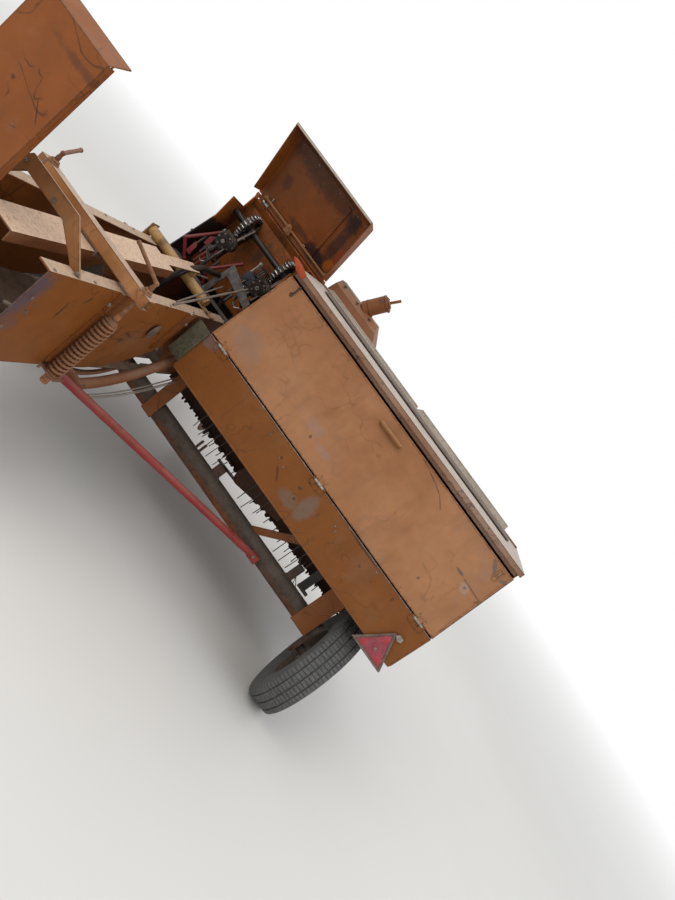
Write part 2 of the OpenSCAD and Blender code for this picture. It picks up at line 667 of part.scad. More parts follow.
module box_front_cover() color(orange) placed() slab_x(box_x + sheet, box_w - 2 * sheet) polygon([
    [box_front + sheet, top_z - sheet], [lip_y, lip_z], [nose_y, nose_z], [nose_y, door_z - 20],
    [nose_y - sheet, door_z - 20], [nose_y - sheet, nose_z - 2], [lip_y - 2, lip_z - sheet],
    [box_front + sheet, top_z - 2 * sheet]]);

// Raised feeder housing with sloped ends and its slanted balance cylinder
house_x = box_x + 10;
house_y = box_front + 20;
house_w = 396;
house_slope = 78;    // how much shorter the housing is at its top
house_top = top_z + 98;
cyl_r = 45;
cyl_lean = 58;       // how far the cylinder's head stands to the right of its foot
cyl_rise = 118;      // how far its head stands above the housing
cyl_foot = [house_x + house_w / 2 + 2, house_y + 2 * cyl_r - 2, house_top - 10];
cyl_head = [cyl_foot[0] + cyl_lean, cyl_foot[1], house_top + cyl_rise];
module feeder_housing() color(orange) placed() {
    intersection() {
        slab_x(house_x, house_w) polygon([[house_y, cover_top(house_y) + seat_gap], [house_y + 20, top_z + 60],
            [house_y + 60, house_top - 4], [house_y + 150, house_top],
            [lip_y - 8, cover_top(lip_y - 8) + seat_gap]]);
        translate([0, nose_y, 0]) rotate([90, 0, 0]) linear_extrude(nose_y) polygon([[house_x, lip_z - 20],
            [house_x + house_w, lip_z - 20], [house_x + house_w, top_z + 14],
            [house_x + house_w - house_slope, house_top + 1], [house_x + 8, house_top + 1]]);
    }
    rod(cyl_foot, cyl_head, cyl_r);
    rod(cyl_head - [14, 0, 30], cyl_head + [-22, 0, 18], 12);
    rod(cyl_head - [5, 0, 10], cyl_head + [34, 0, 62], 8);
}

// Feeder beam with forked tines that push the crop into the chamber
module feeder_tines() color(iron) placed() {
    forks = 4;
    fork_r = 9;
    fork_y = 60;
    beam_y = feed_y + feed_len / 2;
    beam_w = box_w - 2 * sheet;
    pitch = beam_w / forks;
    translate([box_x + sheet, beam_y - fork_y / 2, door_z - 70]) cube([beam_w, fork_y, 50]);
    for (i = [0:forks - 1]) let (x = box_x + sheet + (i + 0.5) * pitch) {
        for (s = [-1, 1])
            rod([x, beam_y + s * fork_y, door_z - 60], [x - 60, beam_y + s * fork_y, deck_z + 50], fork_r);
        translate([x - 14, beam_y - fork_y - 15, door_z - 82]) cube([28, 2 * fork_y + 30, 34]);
    }
}

// Deck behind the pickup, with its side rails and the pivot pins of the pickup
deck_z = ch_z + ch_t + 34;
deck_front = reel_y - reel_r - 75;
lift_y = deck_front - 22;
lift_z = deck_z + 40;
lift_pin = 28;
lift_lug = 40;
deck_back = feed_y - 30;
deck_l = pick_x - 26;
deck_r = pick_x + pick_w + 16;
module feeder_deck() color(rust) placed() {
    side_t = 10;
    // the strip beside the chamber ends behind the pickup's side plate
    translate([half_w, deck_back, deck_z - 4])
        cube([deck_l + side_t - half_w, lift_y - lift_lug - move_gap - deck_back, 4]);
    translate([deck_l, deck_back, deck_z - 4]) cube([deck_r - deck_l, deck_front - deck_back, 4]);
    translate([half_w, deck_back - 4, deck_z - 4]) cube([deck_r - half_w, 4, 60]);
    for (x = [deck_l, deck_r - side_t])
        translate([x, deck_back, deck_z - 4]) cube([side_t, deck_front - deck_back, 64]);
    disc_x(side_l - 22, deck_l + side_t - side_l + 22, lift_y, lift_z, lift_pin / 2);
    disc_x(deck_r - side_t, side_r + plate_t + 12 - deck_r + side_t, lift_y, lift_z, lift_pin / 2);
}

// Square beam under the twine box from the chamber to the right-hand side
cross_s = 56;
cross_y = deck_back - 4;
module cross_beam() color(orange) placed()
    translate([half_w, cross_y - cross_s, deck_z - cross_s]) cube([axle_r - 10 - half_w, cross_s, cross_s]);

// Axle tube from wheel to wheel, with drop plates and spindles
drop_t = 16;
// columns: left edge of a lug on the axle tube along X, its width, its height
lugs = [[836, 54, 58], [690, 11, 52], [717, 11, 52], [1478, 44, 92]];
axle_l = -(wheel_left - tyre_w / 2 - 30);
axle_r = wheel_right - tyre_w / 2 - 30;
module drop_plate(x) slab_x(x, drop_t) {
    translate([0, axle_z]) circle(axle_d / 2 + 6);
    translate([0, tyre_d / 2]) circle(50);
    translate([-50, tyre_d / 2]) square([100, axle_z - tyre_d / 2]);
}

module axle_tube() color(rust) placed() {
    disc_x(axle_l, axle_r - axle_l, 0, axle_z, axle_d / 2);
    drop_plate(axle_l - drop_t);
    drop_plate(axle_r);
    disc_x(axle_r, wheel_right - axle_r + 30, 0, tyre_d / 2, spindle_d / 2);
    disc_x(-wheel_left - 30, wheel_left + 30 + axle_l, 0, tyre_d / 2, spindle_d / 2);
    for (x = [-half_w + 20, half_w - 60])
        translate([x, -45, axle_z + 30]) cube([40, 90, ch_z - axle_z - 30]);
    for (b = lugs) translate([b[0], -10, axle_z + axle_d / 2 - 12]) cube([b[1], 20, b[2] + 12]);
}

// Posts and struts between the axle tube and the box, with the bearers that the box lies on
post_t = 10;
post_y = -axle_d / 2 - post_t + 2;
post_drop = 40;
bearer_w = 70;
bearer_h = 8;
strut_w = 55;
strut_t = 14;
strut_lean = 1.1;    // how far the strut runs sideways for each millimetre that it rises
// columns: left edge of a post along X, its width
posts = [[wheel_right - post_in, 110], [box_x + 2 * sheet, bearer_w]];
bearer_z = box_z + sheet;
strut_top = wheel_right - strut_in;
strut_foot = strut_top - (bearer_z - axle_z) * strut_lean;
module axle_posts() color(orange) placed() {
    difference() {
        union() {
            for (p = posts) translate([p[0], post_y, axle_z - post_drop])
                cube([p[1], post_t, bearer_z - axle_z + post_drop]);
            translate([0, strut_t / 2, 0]) rotate([90, 0, 0]) linear_extrude(strut_t) polygon([
                [strut_foot - strut_w / 2, axle_z], [strut_foot + strut_w / 2, axle_z],
                [strut_top + strut_w / 2, bearer_z + 1], [strut_top - strut_w / 2, bearer_z + 1]]);
        }
        disc_x(axle_l, axle_r - axle_l, 0, axle_z, axle_d / 2 + seat_gap);
    }
    for (x = [posts[0][0], posts[1][0], strut_top - bearer_w / 2])
        translate([x, door_y - 2, bearer_z]) cube([bearer_w, cross_y - door_y, bearer_h]);
}

// Red stay from the chamber's wall to a saddle on the axle tube
saddle = 60;
module red_stay() color(red) placed() {
    stay_x = wheel_right - stay_in;
    stay_y = -beam_back + spring_d + 22;
    difference() {
        union() {
            rod([half_w + stay_d - 4, stay_y, ch_z - 14], [stay_x, -axle_d / 2 - 4, axle_z - 12], stay_d / 2);
            translate([half_w, stay_y - saddle / 2, ch_z - 40]) cube([24, saddle, saddle]);
            translate([stay_x - saddle / 2, -axle_d / 2 - 26, axle_z - 34]) cube([saddle, 34, 44]);
        }
        disc_x(stay_x - saddle, 2 * saddle, 0, axle_z, axle_d / 2 + seat_gap);
    }
}

// Triangular marker in its holder on the rear apron
module reflector() color("#8e2f3c") placed()
    translate([box_right - marker_side - 3, door_y - sheet - 6, box_z - 48]) rotate([90, 0, 0]) linear_extrude(8)
        polygon([[0, 0], [marker_side, 0], [marker_side / 2, marker_side * sin(60)]]);

// Tyre with three grooves round its tread, and a dished rim
module tyre(x) translate([x, 0, tyre_d / 2]) rotate([0, 90, 0]) rotate_extrude($fn = 72) difference() {
    translate([rim_d / 2, -tyre_w / 2]) round_rect(tyre_d / 2 - rim_d / 2, tyre_w, 38);
    for (y = [-42, 0, 42]) translate([tyre_d / 2 - 8, y - 4]) square([9, 8]);
}

rim_w = tyre_w - 42;
rim_t = 6;
hub_r = 48;
module rim(x, side) translate([x, 0, tyre_d / 2]) rotate([0, side > 0 ? 90 : -90, 0]) difference() {
    seat_r = rim_d / 2 - 8;
    dish_r = seat_r - 34;
    rotate_extrude($fn = 72) {
        translate([seat_r, -rim_w / 2]) square([8 - seat_gap, rim_w]);
        translate([dish_r, 20]) square([seat_r - dish_r + 1, rim_t]);
        polygon([[dish_r, 20], [dish_r + rim_t, 20 + rim_t], [dish_r - 8, 34 + rim_t], [dish_r - 14, 34]]);
        translate([hub_r, 34]) square([dish_r - 10 - hub_r, rim_t]);
        translate([spindle_d / 2 + run_gap, -50]) square([hub_r + 1 - spindle_d / 2, 34 + rim_t + 50]);
        translate([0, 34 + rim_t - 1]) square([40, 24]);
    }
    for (a = [0:72:288]) rotate([0, 0, a]) translate([(hub_r + dish_r) / 2 + 6, 0, 30]) cylinder(d = 26, h = 14);
    translate([0, 0, -51]) cylinder(r = spindle_d / 2 + run_gap, h = 83);
}

module right_tyre() color(rubber) placed() tyre(wheel_right);
module right_rim() color(iron) placed() rim(wheel_right, 1);
module left_tyre() color(rubber) placed() tyre(-wheel_left);
module left_rim() color(iron) placed() rim(-wheel_left, -1);

// Door of the twine box, hinged along its lower edge
door_gap = 1;
door_len = norm([door_lean, door_top - door_z]);
door_tilt = atan2(door_lean, door_top - door_z);
handle_x = box_x + 795;
module twine_door() color("#b37a52") placed() {
    translate([0, door_y - door_gap, door_z]) rotate([-door_tilt, 0, 0]) {
        translate([box_x, -sheet, 4]) cube([box_w, sheet, door_len - 8]);
        translate([box_x + 24, 0, door_len - 24]) cube([box_w - 48, 20, sheet]);
        translate([handle_x, -sheet - 26, door_len - 74]) cube([140, 8, 12]);
        for (x = [handle_x, handle_x + 130]) translate([x, -sheet - 26, door_len - 74]) cube([10, 26, 12]);
    }
    for (x = hinge_xs) difference() {
        union() {
            disc_x(x - knuckle / 2 + 0.5, knuckle - 1, hinge_y, hinge_z, hinge_r);
            translate([x - knuckle / 2 + 0.5, hinge_y, hinge_z]) cube([knuckle - 1, hinge_r + 1, 22]);
        }
        disc_x(x - knuckle, 2 * knuckle, hinge_y, hinge_z, hinge_pin + run_gap);
    }
}

// Hood over the knotters, standing open and leaning back: plate, rib, sides and a sloped end lip
lip_angle = 38;      // how far the lip and the sides spread from square to the plate
lip_out = [-cover_side * cos(lip_angle), cover_len + cover_side * sin(lip_angle)];
module knotter_cover() color(orange) placed() translate([0, cover_y, cover_z]) rotate([cover_lean, 0, 0]) {
    slab_x(cover_x0, cover_x1 - cover_x0) polygon([[0, 16], [sheet, 16], [sheet, cover_len], lip_out + [2, sheet],
        lip_out, [0, cover_len - sheet]]);
    for (x = [cover_x0, cover_x1 - sheet])
        slab_x(x, sheet) polygon([[0, 24], [0, cover_len - 1], lip_out, [-0.7 * cover_side, 56]]);
    translate([cover_x1 - 172, -6, 34]) cube([22, 7, cover_len - 60]);
    for (i = [0, 1]) let (x0 = eyes[i][0] + eyes[i][1] + 3, x1 = eyes[i + 1][0] - 3)
        difference() {
            union() {
                disc_x(x0, x1 - x0, 0, 0, 9);
                slab_x(x0, x1 - x0) polygon([[-4, 8], [4, 8], [sheet, 17], [0, 17]]);
            }
            disc_x(x0 - 1, x1 - x0 + 2, 0, 0, rod_d / 2 + run_gap);
        }
}

// Drawbar: box-section tongue on a vertical pivot, with the hitch eye
module drawbar() color(orange) placed() translate([pivot_x, pivot_y, bar_z]) rotate([0, 0, -bar_angle]) {
    difference() {
        union() {
            translate([-bar_s / 2, 0, -bar_s / 2]) cube([bar_s, bar_len - 90, bar_s]);
            translate([0, 0, -bar_s / 2]) cylinder(r = boss_r, h = bar_s);
        }
        translate([0, 0, -bar_s]) cylinder(r = pin_d / 2 + run_gap, h = 2 * bar_s);
    }
    difference() {
        union() {
            translate([0, bar_len, -eye_t / 2]) cylinder(r = eye_r, h = eye_t);
            translate([-eye_r, bar_len - 200, -eye_t / 2]) cube([2 * eye_r, 200, eye_t]);
        }
        translate([0, bar_len, -eye_t]) cylinder(d = eye_d, h = 2 * eye_t);
    }
}

// Screw jack clamped to the right of the drawbar
jack_out = 42;       // from the drawbar's side to the jack's middle
jack_tube = 420;     // length of the jack's outer tube
jack_top = bar_z + 260;
jack_crank = 110;    // reach of the crank on its top
module jack() color(iron) placed() translate([pivot_x, pivot_y, 0]) rotate([0, 0, -bar_angle])
    translate([bar_s / 2 + jack_out, jack_at, 0]) {
        crank_z = jack_top + 22;
        cylinder(r = 70, h = 10);
        cylinder(r = 22, h = bar_z - 60);
        translate([0, 0, jack_top - jack_tube]) cylinder(r = 30, h = jack_tube);
        translate([-jack_out, -30, bar_z - 40]) cube([jack_out, 60, 80]);
        translate([0, 0, jack_top]) cylinder(r = 10, h = 30);
        rod([0, 0, crank_z], [jack_crank, 0, crank_z], 8);
        rod([jack_crank - 6, 0, crank_z], [jack_crank - 6, 0, crank_z + 68], 8);
    }

// Side plates of the pickup on their pivots, with the spindle of the gauge wheel
plate_t = 6;
side_l = pick_x - 34 - plate_t;
side_r = pick_x + pick_w + 34;
reel_shaft = 48;
gauge_y = reel_y - 20;
gauge_z = reel_z - 200;
gauge_pin = 24;
module pickup_side() difference() {
    union() {
        translate([reel_y, reel_z]) circle(band_r + 30);
        polygon([[reel_y - 60, reel_z + band_r + 21], [lift_y - 30, lift_z + 26], [lift_y - 38, lift_z - 12],
            [reel_y - 130, reel_z - 160]]);
        translate([lift_y, lift_z]) circle(lift_lug);
    }
    translate([lift_y, lift_z]) circle(lift_pin / 2 + run_gap);
    translate([reel_y, reel_z]) circle(reel_shaft / 2 + run_gap);
}

module pickup_sides() color(orange) placed() {
    for (x = [side_l, side_r]) slab_x(x, plate_t) pickup_side();
    disc_x(side_r + plate_t, 80, gauge_y, gauge_z, gauge_pin / 2);
    disc_x(side_r + plate_t, 12, gauge_y, gauge_z, 22);
}

// Curved bands between the tines, hung on an angle bar between the side plates
module pickup_bands() color("#b87b45") placed() {
    pitch = pick_w / tines;
    gap = 16;
    top = reel_z + band_r;
    for (i = [0:tines]) let (x = pick_x - (pitch - gap) / 2 + i * pitch) {
        arc_x(x, reel_y, reel_z, band_r - 3, -80, 90) square([3, pitch - gap]);
        translate([x, deck_front + 8, top - 3]) cube([pitch - gap, reel_y - deck_front - 8, 3]);
    }
    translate([side_l + plate_t, deck_front + 14, top - 7]) cube([side_r - side_l - plate_t, 40, 4]);
    translate([side_l + plate_t, deck_front + 14, top - 33]) cube([side_r - side_l - plate_t, 4, 30]);
}

// Wind guard: a tube on two straps with spring rods that reach back over the bands
module wind_guard() color(iron) placed() {
    rods = 10;
    guard_run = 240;     // how far the rods reach back
    guard_y = reel_y + 60;
    guard_z = reel_z + reel_r + 70;
    pitch = (pick_w - 100) / (rods - 1);
    disc_x(side_l - plate_t, side_r - side_l + 3 * plate_t, guard_y, guard_z, 12);
    for (i = [0:rods - 1]) let (x = pick_x + 50 + i * pitch)
        rod([x, guard_y, guard_z], [x, guard_y - guard_run, guard_z - 20], 5);
    for (x = [side_l - plate_t, side_r + plate_t])
        translate([x, guard_y - 20, reel_z + 60]) cube([plate_t, 40, guard_z - reel_z - 60]);
}

// Tined reel on its shaft
module pickup_reel() color(iron) placed() translate([0, reel_y, reel_z]) {
    disc_x(side_l - 20, side_r - side_l + 40 + plate_t, 0, 0, reel_shaft / 2);
    for (x = [pick_x - 24, pick_x + pick_w / 2 - 4, pick_x + pick_w + 16]) disc_x(x, 8, 0, 0, bar_r + 20);
    for (b = [0:bars - 1]) rotate([45 + b * 360 / bars, 0, 0]) {
        disc_x(pick_x - 16, pick_w + 32, bar_r, 0, 12);
        for (i = [0:tines - 1]) let (x = pick_x + (i + 0.5) * pick_w / tines)
            translate([x, bar_r, 0]) rotate([-90, 0, 0]) cylinder(d = tine_d, h = reel_r - bar_r);
    }
}

// Gauge wheel of the pickup
module gauge_wheel() color(rubber) placed() difference() {
    disc_x(side_r + plate_t + 18, 56, gauge_y, gauge_z, gauge_d / 2);
    disc_x(side_r, 120, gauge_y, gauge_z, gauge_pin / 2 + run_gap);
}

// Flywheel on the crank case's shaft, with the splined stub that the tractor's shaft drives
stub_d = 35;
stub_len = 90;
hub_len = 120;
module flywheel() color(iron) placed() translate([0, fly_y, drive_z]) rotate([-90, 0, 0]) {
    difference() {
        union() {
            difference() {
                cylinder(r = fly_d / 2, h = fly_w, $fn = 96);
                translate([0, 0, 20]) cylinder(r = fly_d / 2 - 50, h = fly_w, $fn = 96);
                for (a = [0:72:288]) rotate([0, 0, a]) translate([fly_d / 4 + 20, 0, -1]) cylinder(r = 45, h = 22);
            }
            cylinder(r = 70, h = hub_len);
        }
        translate([0, 0, -1]) cylinder(r = shaft_d / 2 + run_gap, h = hub_deep + 1);
    }
    translate([0, 0, hub_len]) cylinder(d = stub_d, h = stub_len);
}

// Bale chute, folded up behind the mouth of the chamber
module bale_chute() color(orange) placed() translate([0, -chute_pin_back, ch_z - 13]) {
    translate([chute_x0, -pan_off - sheet, 20]) cube([chute_w, sheet, chute_len - 20]);
    for (x = [chute_x0, chute_x1 - sheet]) difference() {
        slab_x(x, sheet) {
            circle(14);
            translate([-pan_off - sheet, 20]) square([chute_side, chute_len - 20]);
            polygon([[-14, 0], [14, 0], [chute_side - pan_off - sheet, 22], [-pan_off - sheet, 22]]);
        }
        disc_x(x - 1, sheet + 2, 0, 0, chute_pin_d / 2 + run_gap);
    }
    slab_x(chute_x0, chute_w) polygon([[-pan_off - sheet, chute_len], [-pan_off, chute_len], [60, chute_len + 32], [58, chute_len + 36]]);
}

chamber_right_wall();
chamber_left_wall();
chamber_floor();
chamber_top_plate();
tension_rail();
density_beam();
beam_shoe();
density_screws();
density_springs();
tie_arch();
plunger();
crank_case();
knotter_frame();
knotter_shaft();
knotters();
twine_guides();
cross_tube();
needle_yoke();
box_left_side();
box_right_side();
box_floor();
box_front_wall();
box_rear_panel();
box_top();
box_front_cover();
feeder_housing();
feeder_tines();
feeder_deck();
cross_beam();
axle_tube();
axle_posts();
red_stay();
reflector();
right_tyre();
right_rim();
left_tyre();
left_rim();
twine_door();
knotter_cover();
drawbar();
jack();
pickup_sides();
pickup_bands();
wind_guard();
pickup_reel();
gauge_wheel();
flywheel();
bale_chute();
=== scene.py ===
import json
import math
import random

import bmesh
import bpy
from mathutils import Matrix, Vector


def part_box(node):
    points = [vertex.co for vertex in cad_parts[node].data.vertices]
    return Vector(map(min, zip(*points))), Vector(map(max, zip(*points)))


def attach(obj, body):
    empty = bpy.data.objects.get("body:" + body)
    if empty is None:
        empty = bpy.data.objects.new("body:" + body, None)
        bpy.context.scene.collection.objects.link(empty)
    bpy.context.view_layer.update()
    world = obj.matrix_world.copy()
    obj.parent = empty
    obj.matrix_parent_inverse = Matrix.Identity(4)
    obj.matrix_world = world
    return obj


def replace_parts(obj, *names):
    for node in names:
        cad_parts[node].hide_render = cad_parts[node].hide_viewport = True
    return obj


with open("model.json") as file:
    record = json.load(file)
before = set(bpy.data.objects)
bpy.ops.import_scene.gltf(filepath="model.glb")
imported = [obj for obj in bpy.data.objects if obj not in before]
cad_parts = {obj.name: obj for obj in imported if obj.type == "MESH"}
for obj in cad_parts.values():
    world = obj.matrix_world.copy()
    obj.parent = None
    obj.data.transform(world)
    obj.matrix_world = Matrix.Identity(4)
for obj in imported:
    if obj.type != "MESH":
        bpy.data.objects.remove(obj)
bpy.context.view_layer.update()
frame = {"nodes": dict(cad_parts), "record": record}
nodes = frame["nodes"]
random.seed(11)

# The machine is measured in metres from the middle of the bale chamber (x), from the axle (y) and
# from the ground (z), as it is drawn. at() turns such a place into one in the model's frame.
chamber_lo, chamber_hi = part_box("chamber_top_plate")
tyre_lo, tyre_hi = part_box("right_tyre")
MIDDLE = Vector(((chamber_lo.x + chamber_hi.x) / 2, (tyre_lo.y + tyre_hi.y) / 2, 0))


def at(x, y, z):
    return MIDDLE + Vector((x, y, z))


def measured(node):
    """Lowest and highest corner of a CAD node in the machine's own measures."""
    lo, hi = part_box(node)
    return lo - MIDDLE, hi - MIDDLE


# Camera, solved from straight edges in the photo
EYE = at(1.304, -3.266, 1.727)
YAW = -0.052
PITCH = 0.198
ROLL = math.radians(53.6)
FOCAL_PX = 685.6
FRAME_PX = 900
SENSOR_MM = 36
FAR_CLIP = 200


def make_camera():
    forward = Vector((math.sin(YAW) * math.cos(PITCH), math.cos(YAW) * math.cos(PITCH), -math.sin(PITCH)))
    level = Vector((math.cos(YAW), -math.sin(YAW), 0))
    rise = level.cross(forward)
    right = math.cos(ROLL) * level + math.sin(ROLL) * rise
    up = -math.sin(ROLL) * level + math.cos(ROLL) * rise
    data = bpy.data.cameras.new("photo_camera")
    data.sensor_width = SENSOR_MM
    data.lens = FOCAL_PX / FRAME_PX * SENSOR_MM
    data.clip_end = FAR_CLIP
    camera = bpy.data.objects.new("photo_camera", data)
    turn = Matrix((right, up, -forward)).transposed().to_4x4()
    camera.matrix_world = Matrix.Translation(EYE) @ turn
    bpy.context.scene.collection.objects.link(camera)
    bpy.context.scene.camera = camera


make_camera()


# Colours
def srgb(text):
    """sRGB hex to the linear colour that a shader takes."""
    values = [int(text[i:i + 2], 16) / 255 for i in (0, 2, 4)]
    return [v / 12.92 if v < 0.04045 else ((v + 0.055) / 1.055) ** 2.4 for v in values] + [1.0]


DUST = srgb("a08f7d")
RUST = srgb("5a3520")
DARK = srgb("2c1e17")
BARE = srgb("7d7268")


class Tree:
    """A material's node tree, built by short calls that return sockets."""

    def __init__(self, name):
        self.material = bpy.data.materials.new(name)
        self.material.use_nodes = True
        self.tree = self.material.node_tree
        self.tree.nodes.clear()
        self.out = self.tree.nodes.new("ShaderNodeOutputMaterial")
        place = self.tree.nodes.new("ShaderNodeTexCoord")
        self.place = place.outputs["Object"]
        self.facing = place.outputs["Normal"]

    def add(self, kind, props=None, **inputs):
        """Adds a node. Inputs are named, with _ for a space, or numbered as i0, i1 and so on."""
        node = self.tree.nodes.new("ShaderNode" + kind)
        for key, value in (props or {}).items():
            setattr(node, key, value)
        for key, value in inputs.items():
            socket = node.inputs[int(key[1:])] if key[1:].isdigit() else node.inputs[key.replace("_", " ")]
            if isinstance(value, bpy.types.NodeSocket):
                self.tree.links.new(value, socket)
            else:
                socket.default_value = value
        return node

    def math(self, kind, a, b=0.0, clamp=False):
        return self.add("Math", {"operation": kind, "use_clamp": clamp}, i0=a, i1=b).outputs[0]

    def folded(self, kind, values):
        result = values[0]
        for value in values[1:]:
            result = self.math(kind, result, value)
        return result

    def times(self, *values):
        return self.folded("MULTIPLY", values)

    def most(self, *values):
        return self.folded("MAXIMUM", values)

    def mix(self, factor, a, b, kind="MIX"):
        return self.add("Mix", {"data_type": "RGBA", "blend_type": kind}, i0=factor, i6=a, i7=b).outputs[2]

    def shade(self, color, value):
        """Multiplies a colour by a number."""
        grey = self.add("CombineColor", Red=value, Green=value, Blue=value).outputs[0]
        return self.mix(1.0, color, grey, "MULTIPLY")

    def stretched(self, scale, turn=(0, 0, 0)):
        return self.add("Mapping", Vector=self.place, Scale=scale, Rotation=turn).outputs[0]

    def noise(self, scale, detail, rough=0.55, vector=None):
        return self.add("TexNoise", Vector=vector or self.place, Scale=scale, Detail=detail,
                        Roughness=rough).outputs[0]

    def band(self, value, low, high, to_low=0.0, to_high=1.0):
        """Maps low..high to to_low..to_high, with the ends held."""
        return self.add("MapRange", {"clamp": True}, Value=value, From_Min=low, From_Max=high, To_Min=to_low,
                        To_Max=to_high).outputs[0]

    def cloud(self, scale, detail, rough, low, high, to_low=0.0, to_high=1.0):
        """Noise of a scale, detail and roughness, sent through band()."""
        return self.band(self.noise(scale, detail, rough), low, high, to_low, to_high)

    def axis(self, name, of=None):
        return self.add("SeparateXYZ", Vector=of or self.place).outputs[name]

    def upward(self, low, high):
        """1 on faces that look up, 0 on upright ones, with the limits given."""
        return self.band(self.axis("Z", self.facing), low, high)

    def edges(self, radius):
        """1 on sharp outer edges, 0 on flat faces."""
        bevel = self.add("Bevel", {"samples": 4}, Radius=radius).outputs[0]
        real = self.tree.nodes.new("ShaderNodeNewGeometry").outputs["Normal"]
        dot = self.add("VectorMath", {"operation": "DOT_PRODUCT"}, i0=bevel, i1=real).outputs["Value"]
        return self.band(dot, 0.995, 0.86)

    def scratches(self, scale, turn, width, where=0.52):
        """Thin wandering lines: the contour of a stretched noise, kept only in patches."""
        field = self.noise(1.0, 1.5, 0.4, self.stretched(scale, turn))
        line = self.band(self.math("ABSOLUTE", self.math("SUBTRACT", field, 0.5)), 0.0, width, 1.0, 0.0)
        return self.times(line, self.band(self.noise(4.3, 3), where, where + 0.04))

    def dots(self, scale, size, share):
        """Small chips, of which only a share of the cells has one."""
        cell = self.add("TexVoronoi", {"feature": "F1"}, Vector=self.place, Scale=scale)
        pick = self.axis("X", cell.outputs["Color"])
        ragged = self.math("ADD", cell.outputs["Distance"], self.times(self.noise(scale * 9, 3), 0.1))
        chip = self.band(ragged, size, size * 1.35, 1.0, 0.0)
        return self.times(chip, self.band(pick, share, share + 0.01, 1.0, 0.0))

    def patch(self, center, size, ragged=0.5, turn=0.0):
        """1 inside a ragged-edged ellipsoid round a place on the machine, turned in the x-z plane."""
        away = self.add("Mapping", {"vector_type": "TEXTURE"}, Vector=self.place, Location=at(*center),
                        Scale=size, Rotation=(0, math.radians(turn), 0))
        distance = self.add("VectorMath", {"operation": "LENGTH"}, i0=away.outputs[0]).outputs["Value"]
        uneven = self.math("ADD", self.noise(22, 9, 0.78), self.times(self.noise(6.5, 3), 0.9))
        fuzz = self.math("ADD", distance, self.times(self.math("SUBTRACT", uneven, 0.95), 2.4 * ragged))
        return self.band(fuzz, 0.62, 1.04, 1.0, 0.0)

    def finish(self, color, roughness, bump=None, strength=0.0, distance=0.0, **inputs):
        shader = self.add("BsdfPrincipled", Base_Color=color, Roughness=roughness, **inputs)
        if bump is not None:
            lift = self.add("Bump", Height=bump, Strength=strength, Distance=distance)
            self.tree.links.new(lift.outputs[0], shader.inputs["Normal"])
        self.tree.links.new(shader.outputs[0], self.out.inputs["Surface"])
        return self.material


SCRATCHES = (((4, 17, 7), (0.4, 0.2, 0.9)), ((11, 4, 9), (1.2, 0.5, 0.2)))
LONG_SCRATCH = ((2.2, 3.1, 0.9), (0.1, 1.0, 2.2))
THIN_MARK = 0.01


